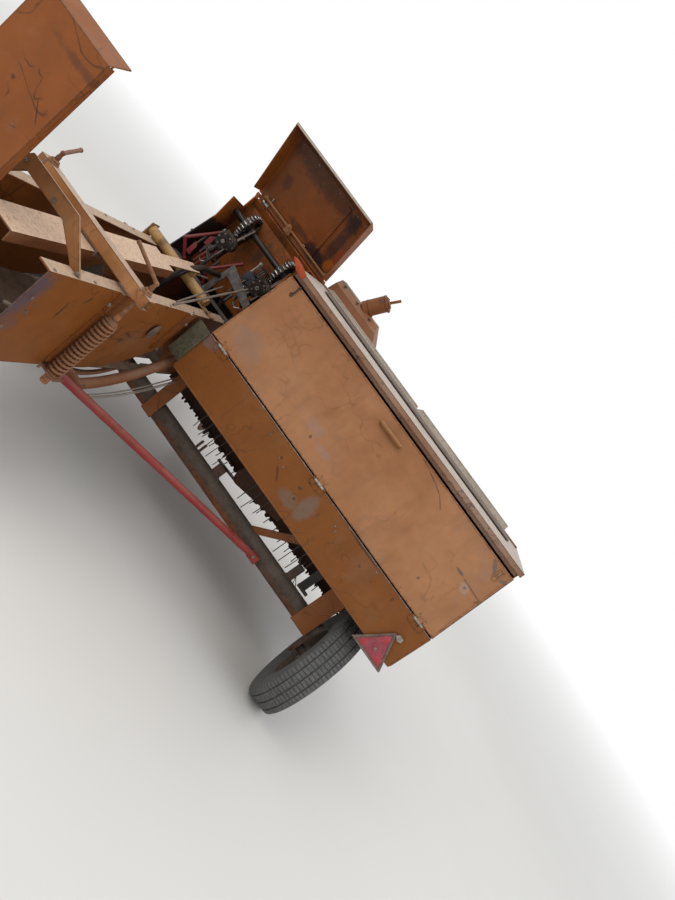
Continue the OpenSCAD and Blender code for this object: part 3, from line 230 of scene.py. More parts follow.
def painted(name, base, faded, fade=0.5, rust=0.5, dust=0.5, marks=0.5, chips=0.5, rough=0.55, lit_and_worn_top=0.0,
            lit_and_worn_tone="b99777", patches=()):
    """Old machine paint on sheet metal: bleached areas, grime, scratches, chips, rust and dust, and on faces
    that look up a pale tone that is partly wear and partly painted light.
    Each patch gives its middle, its half size, its colour and its strength, and may add its turn; a patch
    can also be painted shade."""
    t = Tree(name)
    # bleaching, streaks and grime
    color = t.mix(t.cloud(1.6, 5, 0.6, 0.62 - 0.3 * fade, 0.8 - 0.3 * fade), srgb(base), srgb(faded))
    color = t.shade(color, t.cloud(11, 9, 0.68, 0.3, 0.7, 0.86, 1.08))
    streaks = t.noise(1.0, 6, 0.6, t.stretched((14, 14, 1.2)))
    color = t.mix(t.band(streaks, 0.52, 0.8, 0.0, 0.3), color, srgb("5f4028"))
    color = t.mix(t.cloud(3.1, 8, 0.72, 0.55, 0.72, 0.0, 0.3), color, srgb("7a6a60"))
    # single marks, then scratches
    fine = t.noise(37, 10, 0.75)
    for center, size, tone, strength, *turn in patches:
        area = t.patch(center, size, 0.5 if min(size) > THIN_MARK else 0.3, *turn)
        color = t.mix(t.times(area, t.band(fine, 0.3, 0.52, 0.55 * strength, strength)), color, srgb(tone))
    lines = t.most(*[t.scratches(scale, turn, 0.012) for scale, turn in SCRATCHES],
                   t.times(t.scratches(*LONG_SCRATCH, 0.003, 0.58), 0.35))
    color = t.mix(t.times(lines, marks), color, DARK)
    # rust spots, worn edges and chips
    spots = t.math("ADD", t.noise(5, 8, 0.7), t.times(fine, 0.35))
    spots = t.band(spots, 0.9 - 0.1 * rust, 0.93 - 0.1 * rust)
    worn = t.most(t.times(t.edges(0.008), t.band(fine, 0.6 - 0.25 * chips, 0.68 - 0.2 * chips)), spots,
                  t.times(t.dots(9, 0.055, 0.25 + 0.5 * chips), t.band(fine, 0.35, 0.4)))
    color = t.mix(worn, color, t.mix(t.noise(60, 6, 0.7), DARK, RUST))
    # faces that look up turn a pale speckled tone: partly wear, partly painted light on tops that face the
    # sky
    if lit_and_worn_top:
        top_tone = t.shade(srgb(lit_and_worn_tone), t.cloud(70, 9, 0.85, 0.32, 0.68, 0.66, 1.14))
        speckled = t.mix(t.cloud(55, 9, 0.8, 0.52, 0.66, 0.0, 0.75), top_tone, srgb("7a553c"))
        speckled = t.mix(t.cloud(5, 6, 0.65, 0.56, 0.7, 0.0, 0.6), speckled, srgb("8a5f40"))
        color = t.mix(t.times(t.upward(0.6, 0.9), lit_and_worn_top), color, speckled)
    # dust that lies on top and that is thrown up from the ground
    lying = t.times(t.upward(0.2, 0.95), t.cloud(7, 7, 0.7, 0.25, 0.65), dust)
    low = t.times(t.band(t.axis("Z"), 0.7, 0.1), t.cloud(5, 8, 0.7, 0.35, 0.75), 0.6 * dust)
    dusty = t.most(lying, low)
    color = t.mix(dusty, color, DUST)
    roughness = t.math("ADD", t.band(worn, 0, 1, rough, 0.85), t.times(dusty, 0.2), clamp=True)
    dents = t.times(t.noise(2.6, 3), 2.5)
    height = t.math("ADD", dents, t.math("SUBTRACT", t.times(fine, 0.06), t.times(worn, 0.12)))
    return t.finish(color, roughness, height, 0.4, 0.004, Specular_IOR_Level=0.3)


def rusted(name, base, pale, speckle, polish=0.3, dust=0.4, metallic=0.15):
    """Bare steel that has rusted: brown and pale areas, pits, and dust where it faces up."""
    t = Tree(name)
    pits = t.noise(52, 10, 0.78)
    color = t.mix(t.cloud(5, 8, 0.65, 0.36, 0.64), srgb(base), srgb(pale))
    color = t.mix(t.times(t.band(pits, 0.44, 0.6), speckle), color, DARK)
    color = t.mix(t.times(t.edges(0.006), polish), color, BARE)
    color = t.mix(t.times(t.upward(0.2, 0.9), t.cloud(11, 8, 0.7, 0.25, 0.6), dust), color, DUST)
    roughness = t.band(t.noise(20, 4), 0.3, 0.7, 0.6, 0.92)
    return t.finish(color, roughness, pits, 0.5, 0.003, Metallic=metallic, Specular_IOR_Level=0.3)


def axle_steel(name):
    """Grey-brown where dust settles on the round, orange-brown rust below it in places."""
    t = Tree(name)
    pits = t.noise(52, 10, 0.78)
    under = t.times(t.band(t.axis("Z", t.facing), 0.15, -0.35), t.cloud(2.4, 7, 0.65, 0.4, 0.56))
    color = t.mix(t.cloud(6, 8, 0.65, 0.36, 0.64), srgb("453932"), srgb("574a40"))
    color = t.mix(under, color, t.mix(t.cloud(14, 8, 0.7, 0.4, 0.6), srgb("7a431c"), srgb("553120")))
    color = t.mix(t.times(t.band(pits, 0.46, 0.62), 0.55), color, DARK)
    lying = t.times(t.upward(0.1, 0.9), t.cloud(11, 8, 0.7, 0.25, 0.6), 0.45)
    color = t.mix(lying, color, srgb("7d7267"))
    roughness = t.band(t.noise(20, 4), 0.3, 0.7, 0.6, 0.92)
    return t.finish(color, roughness, pits, 0.5, 0.003, Specular_IOR_Level=0.3)


def greasy(name, base, film):
    """Dark iron under old grease: glossy in places, dusty where it is dry."""
    t = Tree(name)
    wet = t.cloud(16, 7, 0.65, 0.35, 0.65)
    color = t.mix(wet, srgb(base), srgb(film))
    color = t.mix(t.times(t.edges(0.004), 0.5), color, BARE)
    color = t.mix(t.times(t.cloud(30, 9, 0.75, 0.55, 0.68), 0.5), color, RUST)
    lying = t.times(t.upward(0.1, 0.9), t.cloud(22, 8, 0.7, 0.3, 0.6), 0.35)
    color = t.mix(lying, color, srgb("75634f"))
    return t.finish(color, t.band(wet, 0, 1, 0.3, 0.62), t.noise(55, 8, 0.7), 0.35, 0.002, Metallic=0.5)


def rubber(name, base, dusty, level):
    """Worn rubber or plastic with road dust in its hollows."""
    t = Tree(name)
    color = t.mix(t.cloud(9, 7, 0.7, 0.3, 0.7), srgb(base), srgb("454443"))
    even = t.cloud(45, 9, 0.75, 0.3, 0.62, 0.15, 0.6)
    dust = t.most(even, t.cloud(7, 8, 0.7, 0.5, 0.68, 0.1, 0.8))
    color = t.mix(t.times(dust, level), color, srgb(dusty))
    return t.finish(color, 0.85, t.noise(90, 6, 0.7), 0.35, 0.002, Specular_IOR_Level=0.3)


def polished(name, base, dark):
    """Steel kept bright by rubbing, with dark dirt between."""
    t = Tree(name)
    dirt = t.cloud(70, 8, 0.7, 0.42, 0.6)
    color = t.mix(dirt, srgb(base), srgb(dark))
    return t.finish(color, t.band(dirt, 0, 1, 0.22, 0.6), t.noise(90, 5), 0.2, 0.001, Metallic=0.85)


def prism_plastic(name, base, other):
    """Reflector plastic: a fine prism pattern under scratches."""
    t = Tree(name)
    cells = t.add("TexVoronoi", {"feature": "F1"}, Vector=t.place, Scale=170.0).outputs["Distance"]
    color = t.mix(t.cloud(12, 6, 0.7, 0.4, 0.62), srgb(base), srgb(other))
    color = t.mix(t.band(cells, 0.0, 0.8, 0.4, 0.0), color, srgb("c4525c"))
    color = t.mix(t.times(t.scratches((9, 3, 6), (0.3, 1.1, 0.5), 0.02, 0.4), 0.6), color, srgb("5b5556"))
    return t.finish(color, 0.3, cells, 0.25, 0.001, Coat_Weight=0.25)


# Places on the knotter frame where its finish changes
GUARD_FRONT = MIDDLE.y + measured("knotter_frame")[1].y
GUARD_HIGH = (1.205, 1.225)
STRAP_LEFT = (MIDDLE.x - 0.244, MIDDLE.x - 0.243)
STRAP_RIGHT = (MIDDLE.x + 0.2475, MIDDLE.x + 0.2465)
STRAP_BACK = (MIDDLE.y + 0.212, MIDDLE.y + 0.214)


def guard_sheet(name):
    """The knotter frame: black side plates, orange at the top, the orange sheet in front, a grey strap."""
    t = Tree(name)
    fine = t.noise(37, 10, 0.75)
    orange = t.mix(t.cloud(4, 7, 0.65, 0.42, 0.62), srgb("9c5620"), srgb("7a441c"))
    orange = t.mix(t.times(t.scratches((9, 4, 14), (1.2, 0.5, 0.2), 0.02, 0.46), 0.7), orange, DARK)
    orange = t.mix(t.times(t.patch((-0.01, 0.43, 1.30), (0.03, 0.05, 0.09)), 0.7), orange, srgb("4a3a2e"))
    orange = t.mix(t.cloud(9, 8, 0.7, 0.56, 0.66, 0.0, 0.75), orange, srgb("4c2f1e"))
    black = t.mix(t.cloud(16, 7, 0.65, 0.35, 0.65), srgb("1a1716"), srgb("2a231d"))
    ragged = t.math("ADD", t.axis("Z"), t.times(t.math("SUBTRACT", t.noise(20, 6, 0.7), 0.5), 0.12))
    is_front = t.band(t.axis("Y"), GUARD_FRONT - 0.012, GUARD_FRONT - 0.010)
    is_high = t.band(ragged, *GUARD_HIGH)
    color = t.mix(t.most(is_front, is_high), black, orange)
    strap = t.times(t.band(t.axis("X"), *STRAP_LEFT), t.band(t.axis("X"), *STRAP_RIGHT),
                    t.band(t.axis("Y"), *STRAP_BACK, 1.0, 0.0))
    color = t.mix(strap, color, t.mix(t.cloud(26, 8, 0.7, 0.36, 0.62), srgb("74706c"), srgb("4b4743")))
    color = t.mix(t.band(fine, 0.55, 0.62, 0.0, 0.6), color, t.mix(t.noise(60, 6, 0.7), DARK, RUST))
    return t.finish(color, t.band(fine, 0.3, 0.7, 0.45, 0.8), fine, 0.35, 0.003, Specular_IOR_Level=0.3)


MATERIALS = {
    "orange_paint": painted("orange_paint", "7c4417", "8a5426", fade=0.4, rust=0.35, dust=0.35, marks=0.7),
    # the door's paler tone: partly fading and dust, partly painted light on a sheet that leans up toward the
    # sky
    "faded_paint": painted("faded_paint", "98653f", "a5734d", fade=0.7, rust=0.2, dust=0.4, marks=0.5),
    "rusty_steel": rusted("rusty_steel", "5a402f", "6f503a", 0.7, dust=0.45),
    "greasy_iron": greasy("greasy_iron", "1c1a18", "2b2724"),
    "red_paint": painted("red_paint", "84231f", "963029", fade=0.4, rust=0.4, dust=0.3, marks=0.4,
                         rough=0.45),
    "yellow_paint": painted("yellow_paint", "a87428", "bb8f4a", fade=0.5, rust=0.6, dust=0.5, marks=0.4),
    "rim_paint": painted("rim_paint", "3f3a35", "5b544c", fade=0.5, rust=0.6, dust=0.6, marks=0.2),
    "tyre_rubber": rubber("tyre_rubber", "303133", "83827f", 0.72),
    "reflector_red": prism_plastic("reflector_red", "731c28", "8a3540"),
}
BRIGHT = polished("bright_steel", "c9c6bf", "4b4641")
WORN_STEEL = rusted("worn_steel", "75665a", "94867a", 0.5, polish=0.6, dust=0.2, metallic=0.5)
PALE_STEEL = rusted("pale_steel", "9c9488", "b3aca1", 0.3, polish=0.5, dust=0.3, metallic=0.3)
PRISM_SPOT = prism_plastic("prism_spot", "8a1322", "a32333")
DIRTY_PLATE = rusted("dirty_plate", "4a4536", "68604c", 0.6, polish=0.1, dust=0.2, metallic=0.0)
DIRT = rusted("caked_dirt", "2a221b", "3a2e24", 0.6, polish=0.0, dust=0.2, metallic=0.0)
DARK_RUST = rusted("dark_rust", "35211a", "4d2f22", 0.5, polish=0.1, dust=0.2, metallic=0.0)


# Marks that the photo shows on single sheets
def rear_marks(y, deep, rows):
    """Marks on a sheet that faces the rear, as rows of x, z, half width, half height, colour, strength and
    sometimes a turn in degrees."""
    return [((x, y, z), (wide, deep, high), *rest) for x, z, wide, high, *rest in rows]


def side_marks(x, deep, rows):
    """Marks on a sheet that faces sideways, as rows of y, z, half length, half height, colour, strength."""
    return [((x, y, z), (deep, long, high), *rest) for y, z, long, high, *rest in rows]


PANEL_MARKS = rear_marks(-0.226, 0.03, (
    (1.278, 0.83, 0.042, 0.085, "6f5d50", 0.85),
    (1.19, 0.79, 0.065, 0.04, "6f5a4a", 0.75),
    (1.066, 0.823, 0.046, 0.0065, "5a2a1e", 0.95, 41),
    (1.184, 0.868, 0.012, 0.009, "4a2c1c", 0.9),
    (1.207, 0.816, 0.008, 0.008, "3d2418", 0.9),
    (1.021, 0.882, 0.009, 0.009, "4a2c1c", 0.9),
    (1.333, 0.866, 0.007, 0.016, "5a3a22", 0.8),
    (1.632, 0.883, 0.010, 0.009, "5a3a22", 0.8),
    (1.839, 0.918, 0.007, 0.018, "4f3420", 0.8),
    (1.59, 0.945, 0.12, 0.0065, "2c1e17", 0.7),
    (0.70, 0.83, 0.006, 0.12, "6a3f18", 0.5),
    (0.39, 0.93, 0.06, 0.035, "6b5a58", 0.7)))
# the door leans, so each of its marks has its own y
DOOR_MARKS = [((x, y, z), (wide, 0.03, high), *rest) for x, y, z, wide, high, *rest in (
    (1.425, -0.13, 1.395, 0.045, 0.003, "4b2f24", 0.9, 9),
    (1.495, -0.13, 1.383, 0.035, 0.003, "4b2f24", 0.9, 11),
    (1.554, -0.13, 1.369, 0.032, 0.003, "4b2f24", 0.9, 18),
    (1.612, -0.14, 1.342, 0.042, 0.003, "543629", 0.8, 34),
    (1.99, -0.135, 1.371, 0.045, 0.012, "5d5550", 0.75, 41),
    (2.066, -0.135, 1.361, 0.028, 0.010, "5d5550", 0.75, -34),
    (1.915, -0.165, 1.234, 0.028, 0.009, "5b4c44", 0.8),
    (1.987, -0.17, 1.207, 0.030, 0.026, "a58a78", 0.6, 20),
    (1.021, -0.206, 1.046, 0.010, 0.009, "5a4136", 0.9),
    (1.828, -0.2, 1.068, 0.008, 0.009, "5a4136", 0.8),
    (1.00, -0.2, 1.09, 0.06, 0.03, "8c7f80", 0.25),
    (1.115, -0.205, 1.05, 0.05, 0.025, "8c7f80", 0.28),
    (0.50, -0.2, 1.05, 0.12, 0.10, "8a6f5f", 0.5))]
HOOD_MARKS = [((x, y, z), (wide, deep, high), *rest) for x, y, z, wide, deep, high, *rest in (
    # the first row is painted shade: a dark band on the hood's inner face just under its top lip
    (-0.03, 0.20, 1.80, 0.34, 0.14, 0.085, "3f261e", 0.75),
    (-0.262, 0.28, 1.63, 0.028, 0.30, 0.26, "96551f", 0.75),
    (0.20, 0.37, 1.51, 0.10, 0.10, 0.045, "241517", 0.95),
    (0.262, 0.30, 1.66, 0.035, 0.20, 0.20, "3a2420", 0.8),
    (0.31, 0.28, 1.62, 0.022, 0.20, 0.05, "9a3f26", 0.85),
    (0.30, 0.33, 1.545, 0.03, 0.20, 0.04, "ad5c18", 0.85, 30),
    (0.26, 0.22, 1.78, 0.05, 0.20, 0.05, "241a1a", 0.85),
    (-0.16, 0.30, 1.63, 0.03, 0.20, 0.05, "4a2a1c", 0.7),
    (0.05, 0.36, 1.53, 0.09, 0.20, 0.02, "4a2a1c", 0.7))]
MOUTH_WEAR = side_marks(0.254, 0.05, (
    (-1.37, 0.82, 0.10, 0.13, "54464a", 0.95),
    (-1.39, 0.63, 0.07, 0.12, "4d4145", 0.9),
    (-1.30, 0.70, 0.05, 0.04, "6a4a3c", 0.8),
    (-1.13, 0.80, 0.006, 0.05, "3a2418", 0.9),
    (-0.86, 0.76, 0.03, 0.25, "6a3f1a", 0.5)))
CHUTE_MARKS = rear_marks(-1.41, 0.05, (
    (-0.05, 0.80, 0.05, 0.0035, "3a2216", 0.8, 24),
    (0.06, 1.02, 0.07, 0.003, "3a2216", 0.8, -31),
    (-0.10, 1.22, 0.05, 0.003, "3a2216", 0.8, 47),
    (0.10, 1.30, 0.04, 0.0035, "3a2216", 0.8, 12),
    (0.15, 0.75, 0.05, 0.04, "8a5a3a", 0.5),
    (-0.02, 1.40, 0.22, 0.02, "4a2c1a", 0.6),
    (0.02, 0.55, 0.22, 0.03, "4a2c1a", 0.6)))
HOUSING_MARKS = (((0.42, 0.46, 1.56), (0.12, 0.20, 0.016), "3a241a", 0.9),
                 ((0.60, 0.5, 1.66), (0.03, 0.1, 0.03), "5d3a2c", 0.7))
RAIL_MARKS = (((-0.01, -0.1, 1.06), (0.14, 0.10, 0.08), "5d4650", 0.75),
              ((0.12, -1.05, 0.98), (0.03, 0.25, 0.08), "4a2c1c", 0.6))
TUBE_MARKS = (((-0.19, 0.0, 0.99), (0.03, 0.1, 0.05), "5f4022", 0.8),
              ((0.16, 0.0, 0.99), (0.02, 0.1, 0.05), "6a4824", 0.8))

# Finishes of single nodes, where the photo shows more than the slot's plain finish
# the top settings make faces that look up pale, partly from wear and partly as painted light
WALL = {"fade": 0.35, "rust": 0.4, "dust": 0.35, "marks": 0.8, "lit_and_worn_top": 1.0, "lit_and_worn_tone": "c6a88c"}
FINISH = {
    "chamber_right_wall": painted("wall_paint", "814917", "8e5b2c", chips=0.7, patches=MOUTH_WEAR, **WALL),
    "chamber_left_wall": painted("wall_paint_left", "814917", "8e5b2c", **WALL),
    "bale_chute": painted("chute_paint", "86491a", "905528", fade=0.4, rust=0.3, dust=0.2, marks=0.75,
                          chips=0.8, patches=CHUTE_MARKS),
    "tie_arch": painted("arch_paint", "8c5a30", "a3744a", fade=0.6, rust=0.35, dust=0.4, marks=0.35,
                        chips=0.8, lit_and_worn_top=0.8, lit_and_worn_tone="b98d66"),
    "density_beam": painted("beam_paint", "a8703f", "c8976e", fade=0.6, rust=0.6, dust=0.3, marks=0.4,
                            chips=0.9, lit_and_worn_top=1.0, lit_and_worn_tone="c9ab92"),
    "beam_shoe": rusted("shoe_steel", "7a5a42", "96735a", 0.6),
    "tension_rail": painted("rail_paint", "7c4c2c", "8e6244", fade=0.5, rust=0.7, dust=0.35, marks=0.3,
                            chips=0.8, lit_and_worn_top=1.0, lit_and_worn_tone="e6c2a4", patches=RAIL_MARKS),
    "density_springs": rusted("spring_steel", "93592f", "b27c50", 0.3, polish=0.6, dust=0.3),
    "density_screws": rusted("screw_steel", "7a4c30", "986a4a", 0.5, polish=0.4, dust=0.2),
    "axle_tube": axle_steel("axle_steel"),
    # the cross beam is a near-black brown
    "cross_beam": rusted("beam_near_black", "2b1c12", "452a17", 0.5, polish=0.1, dust=0.1, metallic=0.0),
    "needle_yoke": painted("yoke_paint", "7d4a26", "8c5c38", fade=0.5, rust=0.7, dust=0.4, marks=0.3,
                           chips=0.9),
    "cross_tube": painted("tube_paint", "a07636", "b48c56", fade=0.6, rust=0.9, dust=0.4, marks=0.4,
                          chips=1.0, patches=TUBE_MARKS),
    "twine_guides": painted("lever_paint", "6b1a22", "7f262b", fade=0.5, rust=0.8, dust=0.15, marks=0.7,
                            chips=1.0, rough=0.4),
    "box_rear_panel": painted("apron_paint", "7c4715", "865222", fade=0.3, rust=0.2, dust=0.2, marks=0.4,
                              patches=PANEL_MARKS),
    # paler than the apron: partly fading and dust, partly painted light, as the door leans up toward the sky
    "twine_door": painted("door_paint", "98653f", "a5734d", fade=0.7, rust=0.15, dust=0.35, marks=0.25,
                          patches=DOOR_MARKS),
    "knotter_cover": painted("hood_paint", "85481c", "70401d", fade=0.5, rust=0.5, dust=0.25, marks=0.4,
                             patches=HOOD_MARKS),
    "knotter_frame": guard_sheet("knotter_frame_finish"),
    # the cap's whitish top is partly dust and wear, partly painted light
    "box_top": painted("cap_paint", "8c674e", "9b7a64", fade=0.7, rust=0.6, dust=0.3, marks=0.6, chips=0.9,
                       lit_and_worn_top=1.0, lit_and_worn_tone="bdb0a4"),
    "feeder_housing": painted("housing_paint", "84502b", "96623f", fade=0.5, rust=0.6, dust=0.35, marks=0.6,
                              chips=0.9, patches=HOUSING_MARKS),
    "box_front_cover": painted("cover_paint", "905a33", "a06a42", fade=0.5, rust=0.35, dust=0.8, marks=0.6),
    "drawbar": painted("drawbar_paint", "7c4417", "8a5426", fade=0.4, rust=0.6, dust=0.5, marks=0.6,
                       chips=0.9),
}
LIP_PINK = painted("lip_paint", "967464", "a88c7c", fade=0.6, rust=0.5, dust=0.2, marks=0.4, chips=0.9)
LIP_PALE = rusted("pale_lip", "b0a494", "c6baaa", 0.22, polish=0.1, dust=0.2, metallic=0.0)
CAP_STRIP = rusted("cap_strip", "584a42", "6d5d53", 0.5, polish=0.0, dust=0.15, metallic=0.0)

slot_of = {part["node"]: part["material_slot"] for part in frame["record"]["subparts"]}
for node_name, cad in nodes.items():
    cad.data.materials.clear()
    cad.data.materials.append(FINISH.get(node_name, MATERIALS[slot_of[node_name]]))


# Mesh building
X, Y, Z = Vector((1, 0, 0)), Vector((0, 1, 0)), Vector((0, 0, 1))


def around(middle, u, v, radius, count, start=0.0):
    """Evenly spaced places on a circle, from u towards v; start is in radians."""
    angles = [start + 2 * math.pi * k / count for k in range(count)]
    return [middle + (u * math.cos(a) + v * math.sin(a)) * radius for a in angles]


def arc(middle, u, v, radius, start, end, steps):
    """Points on an arc, with angles in degrees from u towards v."""
    angles = [math.radians(start + (end - start) * i / steps) for i in range(steps + 1)]
    return [middle + (u * math.cos(a) + v * math.sin(a)) * radius for a in angles]


def line(start, end, steps):
    """Evenly spaced points from one place to another."""
    return [start.lerp(end, i / steps) for i in range(steps + 1)]


def across(axis):
    """Two directions square to an axis and to each other."""
    side = axis.orthogonal().normalized()
    return side, axis.cross(side)


def rectangle(wide, high):
    return [(0, 0), (wide, 0), (wide, high), (0, high)]


def ellipse(half_wide, half_high, count, start=0.0):
    angles = [start + 2 * math.pi * k / count for k in range(count)]
    return [(half_wide * math.cos(a), half_high * math.sin(a)) for a in angles]


class Shape:
    """Collects solids in one mesh, in the model's frame. Bodies of several finishes use several shapes."""

    def __init__(self):
        self.bm = bmesh.new()

    def ring(self, points):
        return [self.bm.verts.new(point) for point in points]

    def skin(self, rings, hoop=False):
        """Joins closed rings of equal length with quads. A hoop's last ring joins the first; otherwise both
        ends are capped."""
        count = len(rings[0])
        following = rings[1:] + rings[:1] if hoop else rings[1:]
        for one, two in zip(rings, following):
            for i in range(count):
                j = (i + 1) % count
                self.bm.faces.new((one[i], one[j], two[j], two[i]))
        if not hoop:
            self.bm.faces.new(rings[0][::-1])
            self.bm.faces.new(rings[-1])

    def turned(self, start, axis, profile, sides, phase=0.0):
        """Solid of revolution. The profile holds (distance along the axis, radius), the phase is a share of
        one side."""
        axis = Vector(axis).normalized()
        side, up = across(axis)
        turn = 2 * math.pi * phase / sides
        self.skin([self.ring(around(start + axis * along, side, up, radius, sides, turn))
                   for along, radius in profile])

    def hoop(self, middle, axis, side, profile, steps):
        """Ring whose closed section is a list of (along the axis, radius)."""
        directions = around(Vector((0, 0, 0)), side, axis.cross(side), 1, steps)
        self.skin([self.ring([middle + axis * along + out * radius for along, radius in profile])
                   for out in directions], True)

    def rod(self, a, b, radius, sides=14):
        """Round bar with slightly rounded ends."""
        length = (b - a).length
        soft = min(0.2 * radius, length / 3)
        profile = [(0, radius - soft), (soft, radius), (length - soft, radius), (length, radius - soft)]
        self.turned(a, b - a, profile, sides)

    def tube(self, points, radius, sides, taper=None):
        """Round bar along a line of points; taper gives the share of the radius at a share of the length."""
        rings = []
        last = len(points) - 1
        side = (points[1] - points[0]).orthogonal().normalized()
        for i, point in enumerate(points):
            ahead = (points[min(i + 1, last)] - points[max(i - 1, 0)]).normalized()
            side = (side - ahead * side.dot(ahead)).normalized()
            width = radius * (taper(i / last) if taper else 1)
            rings.append(self.ring(around(point, side, ahead.cross(side), width, sides)))
        self.skin(rings)

    def plate(self, origin, side, up, outline, thick, bevel=0.0):
        """Flat plate: an outline of (along side, along up) points, made thick along side x up."""
        out = side.cross(up).normalized()
        near = [origin + side * a + up * b for a, b in outline]
        start = len(self.bm.edges)
        self.skin([self.ring(near), self.ring([point + out * thick for point in near])])
        if bevel:
            self.bm.edges.ensure_lookup_table()
            bmesh.ops.bevel(self.bm, geom=self.bm.edges[start:], offset=bevel, segments=2, affect="EDGES",
                            profile=0.6, clamp_overlap=True)

    def block(self, lo, hi, bevel, turn=None):
        """Box between two corners with rounded edges, turned about its middle."""
        turn = turn or Matrix.Identity(3)
        x, y, z = (turn @ axis for axis in (X, Y, Z))
        half = (hi - lo) / 2
        outline = [(-half.x, -half.y), (half.x, -half.y), (half.x, half.y), (-half.x, half.y)]
        self.plate((lo + hi) / 2 - z * half.z, x, y, outline, 2 * half.z, bevel)

    def bolt(self, seat, axis, size, length=0.0):
        """Hexagon head on a washer, with the thread's end showing if length is given."""
        axis = Vector(axis).normalized()
        self.turned(seat, axis, [(0, size * 1.25), (size * 0.22, size * 1.25)], 18)
        head = [(0, size), (size * 0.62, size), (size * 0.8, size * 0.84)]
        self.turned(seat + axis * size * 0.2, axis, head, 6, random.random())
        if length:
            thread = [(size * 0.7, size * 0.5), (size * 0.8 + length, size * 0.5),
                      (size * 0.95 + length, size * 0.38)]
            self.turned(seat, axis, thread, 12)

    def rivet(self, seat, axis, size):
        dome = [(0, size), (size * 0.25, size * 0.92), (size * 0.5, size * 0.6), (size * 0.58, size * 0.15)]
        self.turned(seat, axis, dome, 12)

    def coil(self, start, axis, radius, wire, turns, length, steps=16, sides=6):
        axis = Vector(axis).normalized()
        side, up = across(axis)
        circle = around(Vector((0, 0, 0)), side, up, radius, steps)
        total = int(turns * steps)
        points = [start + axis * (length * i / total) + circle[i % steps] for i in range(total + 1)]
        self.tube(points, wire, sides)

    def done(self, name, body, slot, material=None, smooth=38):
        """Makes the piece, which rides on a body and takes a finish of its own, or else the material of its
        slot.
        """
        bmesh.ops.recalc_face_normals(self.bm, faces=self.bm.faces)
        mesh = bpy.data.meshes.new(name)
        self.bm.to_mesh(mesh)
        self.bm.free()
        mesh.shade_smooth()
        mesh.set_sharp_from_angle(angle=math.radians(smooth))
        piece = bpy.data.objects.new(name, mesh)
        bpy.context.scene.collection.objects.link(piece)
        mesh.materials.append(material or MATERIALS[slot])
        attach(piece, body)
        return piece


# Places on the machine, read from its nodes where their boxes give them, otherwise as they are drawn
wall_hi = measured("chamber_right_wall")[1]
top_lo, top_hi = measured("box_top")
side_lo, side_hi = measured("box_right_side")
HALF_W = wall_hi.x
BOX_L, BOX_R = measured("box_left_side")[0].x, side_hi.x
BOX_MIDDLE = (BOX_L + BOX_R) / 2
BOX_LOW = side_lo.z
APRON_HIGH = measured("box_rear_panel")[1].z
SHEET = 0.004
DOOR_HINGE_Z = 0.957
DOOR_LEAN = 0.095
DOOR_RISE = 0.451
DOOR_BACK = -0.220
DOOR_LENGTH = math.hypot(DOOR_LEAN, DOOR_RISE)
UP_DOOR = Vector((0, DOOR_LEAN, DOOR_RISE)).normalized()
OUT_DOOR = Vector((0, -DOOR_RISE, DOOR_LEAN)).normalized()
HINGE_X = (BOX_L + 0.095, BOX_MIDDLE, BOX_R - 0.095)
KNUCKLE_Y, KNUCKLE_Z, KNUCKLE_R = DOOR_BACK - 0.010, 0.955, 0.0062


def on_door(x, along, out=0.0):
    """Place on the door's outer face: x, the way up from the hinge line, and the distance off the face."""
    return at(x, DOOR_BACK - 0.001, DOOR_HINGE_Z) + UP_DOOR * along + OUT_DOOR * (SHEET + out)


def under_top(x, down, out=0.0):
    """Place on the door's outer face, measured down from its upper edge."""
    return on_door(x, DOOR_LENGTH - down, out)


def door_edges():
    """Folded edges of the door's sheet."""
    trim = Shape()
    inset, low, sunk, radius = 0.006, 0.009, -0.0012, 0.0035
    left, right, high = BOX_L + inset, BOX_R - inset, DOOR_LENGTH - low
    for along in (low, high):
        trim.tube(line(on_door(left, along, sunk), on_door(right, along, sunk), 24), radius, 8)
    for x in (left, right):
        trim.tube(line(on_door(x, low, sunk), on_door(x, high, sunk), 8), radius, 8)
    trim.done("door_edges", "twine_door", "faded_paint")


def door_handle():
    handle = Shape()
    left, down = BOX_L + 0.795, 0.068
    grip = line(under_top(left - 0.006, down, 0.0215), under_top(left + 0.146, down, 0.0215), 10)
    handle.tube(grip, 0.0105, 14, lambda share: 0.72 + 0.28 * min(1, 9 * min(share, 1 - share)))
    for x in (left + 0.005, left + 0.135):
        foot = [(0, 0.013), (0.004, 0.012), (0.012, 0.008), (0.022, 0.008)]
        handle.turned(under_top(x, down, -0.001), OUT_DOOR, foot, 14)
    handle.done("door_handle", "twine_door", "faded_paint", FINISH["tie_arch"])


def door_hook():
    """The dark hook over the left end of the door's upper seam."""
    hook = Shape()
    x = BOX_L + 0.072
    bar = ((0.002, 0.006, 0.006), (0.0, 0.02, 0.008), (0.005, 0.036, 0.007), (0.001, 0.05, 0.005))
    hook.tube([under_top(x + dx, down, out) for dx, down, out in bar], 0.0036, 8)
    hook.tube(arc(under_top(x, 0.057, 0.0045), X, UP_DOOR, 0.007, 90, 440, 16), 0.0026, 8)
    upper = [(0, 0.006), (0.008, 0.006), (0.0095, 0.004)]
    lower = [(0, 0.0045), (0.006, 0.0045), (0.007, 0.003)]
    hook.turned(under_top(x + 0.002, 0.007, -0.001), OUT_DOOR, upper, 12)
    hook.turned(under_top(x, 0.064, -0.001), OUT_DOOR, lower, 12)
    hook.done("door_hook", "twine_door", "greasy_iron", DARK_RUST)


